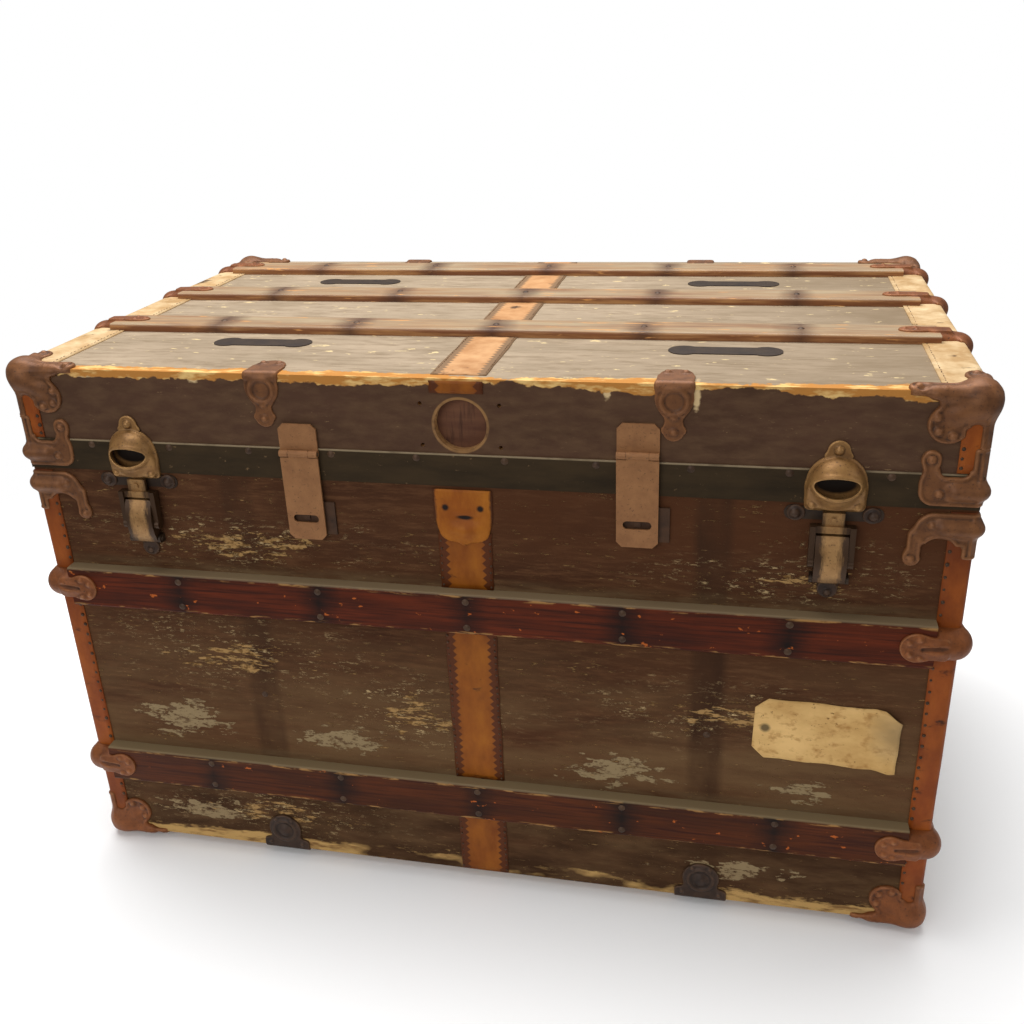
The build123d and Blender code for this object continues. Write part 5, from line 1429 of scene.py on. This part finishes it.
# %% Row tree
def row_tree():
    tree = bpy.data.node_groups.new("row of heads", "GeometryNodeTree")
    face = tree.interface
    for name, kind in (("Geometry", "Geometry"), ("Head", "Object"), ("Pitch", "Float"),
                       ("Wobble", "Float"), ("Seed", "Int"), ("Material", "Material")):
        face.new_socket(name, in_out="INPUT", socket_type="NodeSocket" + kind)
    face.new_socket("Geometry", in_out="OUTPUT", socket_type="NodeSocketGeometry")
    given = add(tree, "NodeGroupInput")
    curve = add(tree, "GeometryNodeMeshToCurve", {"Mesh": given.outputs["Geometry"]})
    points = add(tree, "GeometryNodeCurveToPoints",
                 {"Curve": curve, "Length": given.outputs["Pitch"]}, mode="LENGTH")
    unit = add(tree, "FunctionNodeRandomValue",
               {"Seed": given.outputs["Seed"], 0: (-1, -1, -1), 1: (1, 1, 1)},
               data_type="FLOAT_VECTOR")
    shift = add(tree, VECTOR, {0: unit, "Scale": given.outputs["Wobble"]}, operation="SCALE")
    moved = add(tree, "GeometryNodeSetPosition", {"Geometry": points, "Offset": shift})
    head = add(tree, "GeometryNodeObjectInfo", {"Object": given.outputs["Head"]})
    size = add(tree, "FunctionNodeRandomValue",
               {"Seed": given.outputs["Seed"], 2: 0.85, 3: 1.15}, data_type="FLOAT")
    placed_heads = add(tree, "GeometryNodeInstanceOnPoints",
                       {"Points": moved, "Instance": head.outputs["Geometry"],
                        "Rotation": points.outputs["Rotation"], "Scale": size.outputs[1]})
    real = add(tree, "GeometryNodeRealizeInstances", {"Geometry": placed_heads})
    painted = add(tree, "GeometryNodeSetMaterial",
                  {"Geometry": real, "Material": given.outputs["Material"]})
    add(tree, "NodeGroupOutput", {"Geometry": painted})
    return tree


ROWS = row_tree()


def head_mesh(name, sizes, segments=8, rings=5):
    """A small rounded head with half sizes in millimetres, kept out of the render."""
    mesh = bpy.data.meshes.new(name)
    points = [(0, 0, 1)]
    for i in range(1, rings):
        a = math.pi * i / rings
        for j in range(segments):
            b = 2 * math.pi * j / segments
            points.append((math.sin(a) * math.cos(b), math.sin(a) * math.sin(b), math.cos(a)))
    points.append((0, 0, -1))
    faces = [(0, 1 + j, 1 + (j + 1) % segments) for j in range(segments)]
    for i in range(rings - 2):
        for j in range(segments):
            a = 1 + i * segments
            k = (j + 1) % segments
            faces.append((a + j, a + segments + j, a + segments + k, a + k))
    last = len(points) - 1
    a = 1 + (rings - 2) * segments
    faces += [(a + (j + 1) % segments, a + j, last) for j in range(segments)]
    mesh.from_pydata([tuple(c * s * MM for c, s in zip(p, sizes)) for p in points], [], faces)
    mesh.polygons.foreach_set("use_smooth", [True] * len(mesh.polygons))
    return bpy.data.objects.new(name, mesh)


def row_of(name, lines, head, pitch, wobble, seed, material, body):
    """Bake heads along lines, given as lists of points in millimetres."""
    points, edges = [], []
    for line in lines:
        edges += [(len(points) + i, len(points) + i + 1) for i in range(len(line) - 1)]
        points += [tuple(c * MM for c in p) for p in line]
    mesh = bpy.data.meshes.new(name + "_guide")
    mesh.from_pydata(points, edges, [])
    guide = bpy.data.objects.new(name + "_guide", mesh)
    scene.collection.objects.link(guide)
    modifier = guide.modifiers.new("rows", "NODES")
    values = {"Head": head, "Pitch": pitch * MM, "Wobble": wobble * MM, "Seed": seed,
              "Material": material}
    modifier.node_group = ROWS
    for item in ROWS.interface.items_tree:
        if item.in_out == "INPUT" and item.name in values:
            modifier[item.identifier] = values[item.name]
    bpy.context.view_layer.update()
    ready = guide.evaluated_get(bpy.context.evaluated_depsgraph_get())
    made = bpy.data.meshes.new_from_object(ready)
    made.name = name
    bpy.data.objects.remove(guide)
    obj = bpy.data.objects.new(name, made)
    scene.collection.objects.link(obj)
    dress(obj, material)
    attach(obj, body)
    print(name, len(made.polygons), "faces")
    return obj


# %% [markdown]
# ## Where the rows run
# Nails follow the inner rim of each upright binding, every 12 mm, and both rims of the
# centre strap. Stitches run along the end bindings on the lid.

# %% Nails and stitches
NAIL = head_mesh("binding nail", (1.9, 1.9, 1.9))
STITCH = head_mesh("waxed stitch", (0.45, 0.45, 2.0))


def corner_lines(z0, z1, inset, out):
    lines = []
    for sx in (-1, 1):
        for y in (FRONT - out, REAR + out):
            lines.append([(sx * (RIGHT - inset), y, z0), (sx * (RIGHT - inset), y, z1)])
        for y in (FRONT + inset, REAR - inset):
            lines.append([(sx * (RIGHT + out), y, z0), (sx * (RIGHT + out), y, z1)])
    return lines


base_lines = []
for z0, z1 in ((60, LOWER_SLAT[0] - 4), (LOWER_SLAT[1] + 6, UPPER_SLAT[0] - 6),
               (UPPER_SLAT[1] + 6, 428)):
    base_lines += corner_lines(z0, z1, 18.5, 1.0)
row_of("binding_nails", base_lines, NAIL, 12.0, 0.5, 3, NAIL_IRON, "base")
row_of("lid_binding_nails", corner_lines(505, 522, 18.5, 1.0), NAIL, 8.0, 0.4, 5, NAIL_IRON, "lid")

strap_lines = []
for z0, z1 in ((14, LOWER_SLAT[0] - 2), (LOWER_SLAT[1] + 3, UPPER_SLAT[0] - 3),
               (UPPER_SLAT[1] + 3, 410)):
    for x in (-24.0, 24.0):
        strap_lines.append([(x, FRONT - 0.7, z0), (x, FRONT - 0.7, z1)])
SMALL_NAIL = head_mesh("strap nail", (1.3, 1.3, 1.3))
row_of("strap_nails", strap_lines, SMALL_NAIL, 7.0, 0.5, 7, NAIL_IRON, "base")

lid_lines = []
gaps = zip([FRONT + 20] + [s[1] + 2 for s in TOP_SLATS],
           [s[0] - 2 for s in TOP_SLATS] + [REAR - 20])
for y0, y1 in gaps:
    for x in (-RIGHT + 34, RIGHT - 34):
        lid_lines.append([(x, y0, TOP + 1.3), (x, y1, TOP + 1.3)])
    for x in (-24.0, 24.0):
        lid_lines.append([(x, y0, TOP + 0.9), (x, y1, TOP + 0.9)])
DARK_THREAD = finish("waxed linen thread, blackened", "leather_pale", "5a4028", [
    (((6, 6, 6), 0.4, 0.1, 250), "3c2817")], rough=0.7)
row_of("lid_stitches", lid_lines, STITCH, 6.0, 0.25, 9, DARK_THREAD, "lid")

# %% [markdown]
# ## Light, floor and camera
# The photograph has soft light from above and a little behind, a weaker light from the
# front, and a white ground that keeps a faint shadow. Large area lamps give that. The
# camera stands where the photograph's perspective puts it.

# %% Lamps
def lamp(name, place, size, power):
    """A white area lamp that looks at the middle of the trunk."""
    data = bpy.data.lights.new(name, "AREA")
    data.shape = "RECTANGLE"
    data.size, data.size_y = size
    data.energy = power
    obj = bpy.data.objects.new(name, data)
    scene.collection.objects.link(obj)
    obj.location = place
    away = Vector(place) - Vector((0, 0, 0.3))
    obj.rotation_euler = away.to_track_quat("Z", "Y").to_euler()
    obj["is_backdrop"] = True
    return obj


lamp("key", (-0.30, 0.45, 2.7), (2.8, 2.2), 108.0)
lamp("front fill", (-1.0, -3.0, 1.7), (2.4, 1.6), 38.0)
lamp("right fill", (2.6, -0.8, 1.6), (1.4, 1.4), 7.0)

# %% Floor and background
half, under = 6.0, -0.0005
mesh = bpy.data.meshes.new("floor")
mesh.from_pydata([(x * half, y * half, under) for x, y in ((-1, -1), (1, -1), (1, 1), (-1, 1))],
                 [], [(0, 1, 2, 3)])
floor = bpy.data.objects.new("floor", mesh)
scene.collection.objects.link(floor)
floor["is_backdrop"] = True
ground = bpy.data.materials.new("white paper floor")
ground.use_nodes = True
tree = ground.node_tree
paper = tree.nodes["Principled BSDF"]
paper.inputs["Base Color"].default_value = linear("ffffff")
paper.inputs["Roughness"].default_value = 0.9
paper.inputs["Specular IOR Level"].default_value = 0.0
place = add(tree, "ShaderNodeTexCoord")
flat_place = add(tree, VECTOR, (place.outputs["Object"], (0.75, 1.0, 0.0)),
                 operation="MULTIPLY")
distance = add(tree, VECTOR, (flat_place,), operation="LENGTH")
far = add(tree, RANGE, {"Value": distance.outputs["Value"], "From Min": 0.60, "From Max": 1.15},
          interpolation_type="SMOOTHSTEP")
clear = add(tree, "ShaderNodeBsdfTransparent")
mixed = add(tree, "ShaderNodeMixShader", {0: far, 1: paper.outputs[0], 2: clear})
tree.links.new(mixed.outputs[0], tree.nodes["Material Output"].inputs["Surface"])
floor.data.materials.append(ground)

world = bpy.data.worlds.new("studio")
scene.world = world
world.use_nodes = True
tree = world.node_tree
tree.nodes.clear()
paths = add(tree, "ShaderNodeLightPath")
seen = either(tree, paths.outputs["Is Camera Ray"], paths.outputs["Is Transmission Ray"])
white = add(tree, "ShaderNodeBackground", {"Color": (1, 1, 1, 1), "Strength": 1.0})
dim = add(tree, "ShaderNodeBackground", {"Color": linear("ffffff"), "Strength": 0.30})
choice = add(tree, "ShaderNodeMixShader", {0: seen, 1: dim, 2: white})
add(tree, "ShaderNodeOutputWorld", {"Surface": choice})
print("floor and background ready")

# %% Camera
data = bpy.data.cameras.new("camera")
data.sensor_width = 36.0
data.lens = 37.55
camera = bpy.data.objects.new("camera", data)
scene.collection.objects.link(camera)
right = Vector((0.97703, 0.20955, -0.03865))
down = Vector((0.05000, -0.40178, -0.91437))
forward = Vector((-0.20713, 0.89144, -0.40303))
turn = Matrix((right, -down, -forward)).transposed().to_4x4()
camera.matrix_world = Matrix.Translation((0.2526, -1.1533, 0.8442)) @ turn
scene.camera = camera
scene.view_settings.view_transform = "Standard"
print("camera at", [round(v, 3) for v in camera.location])

# %% [markdown]
# ## Measure
# The bounds of the dressed trunk are measured.

# %% Sizes
low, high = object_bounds()
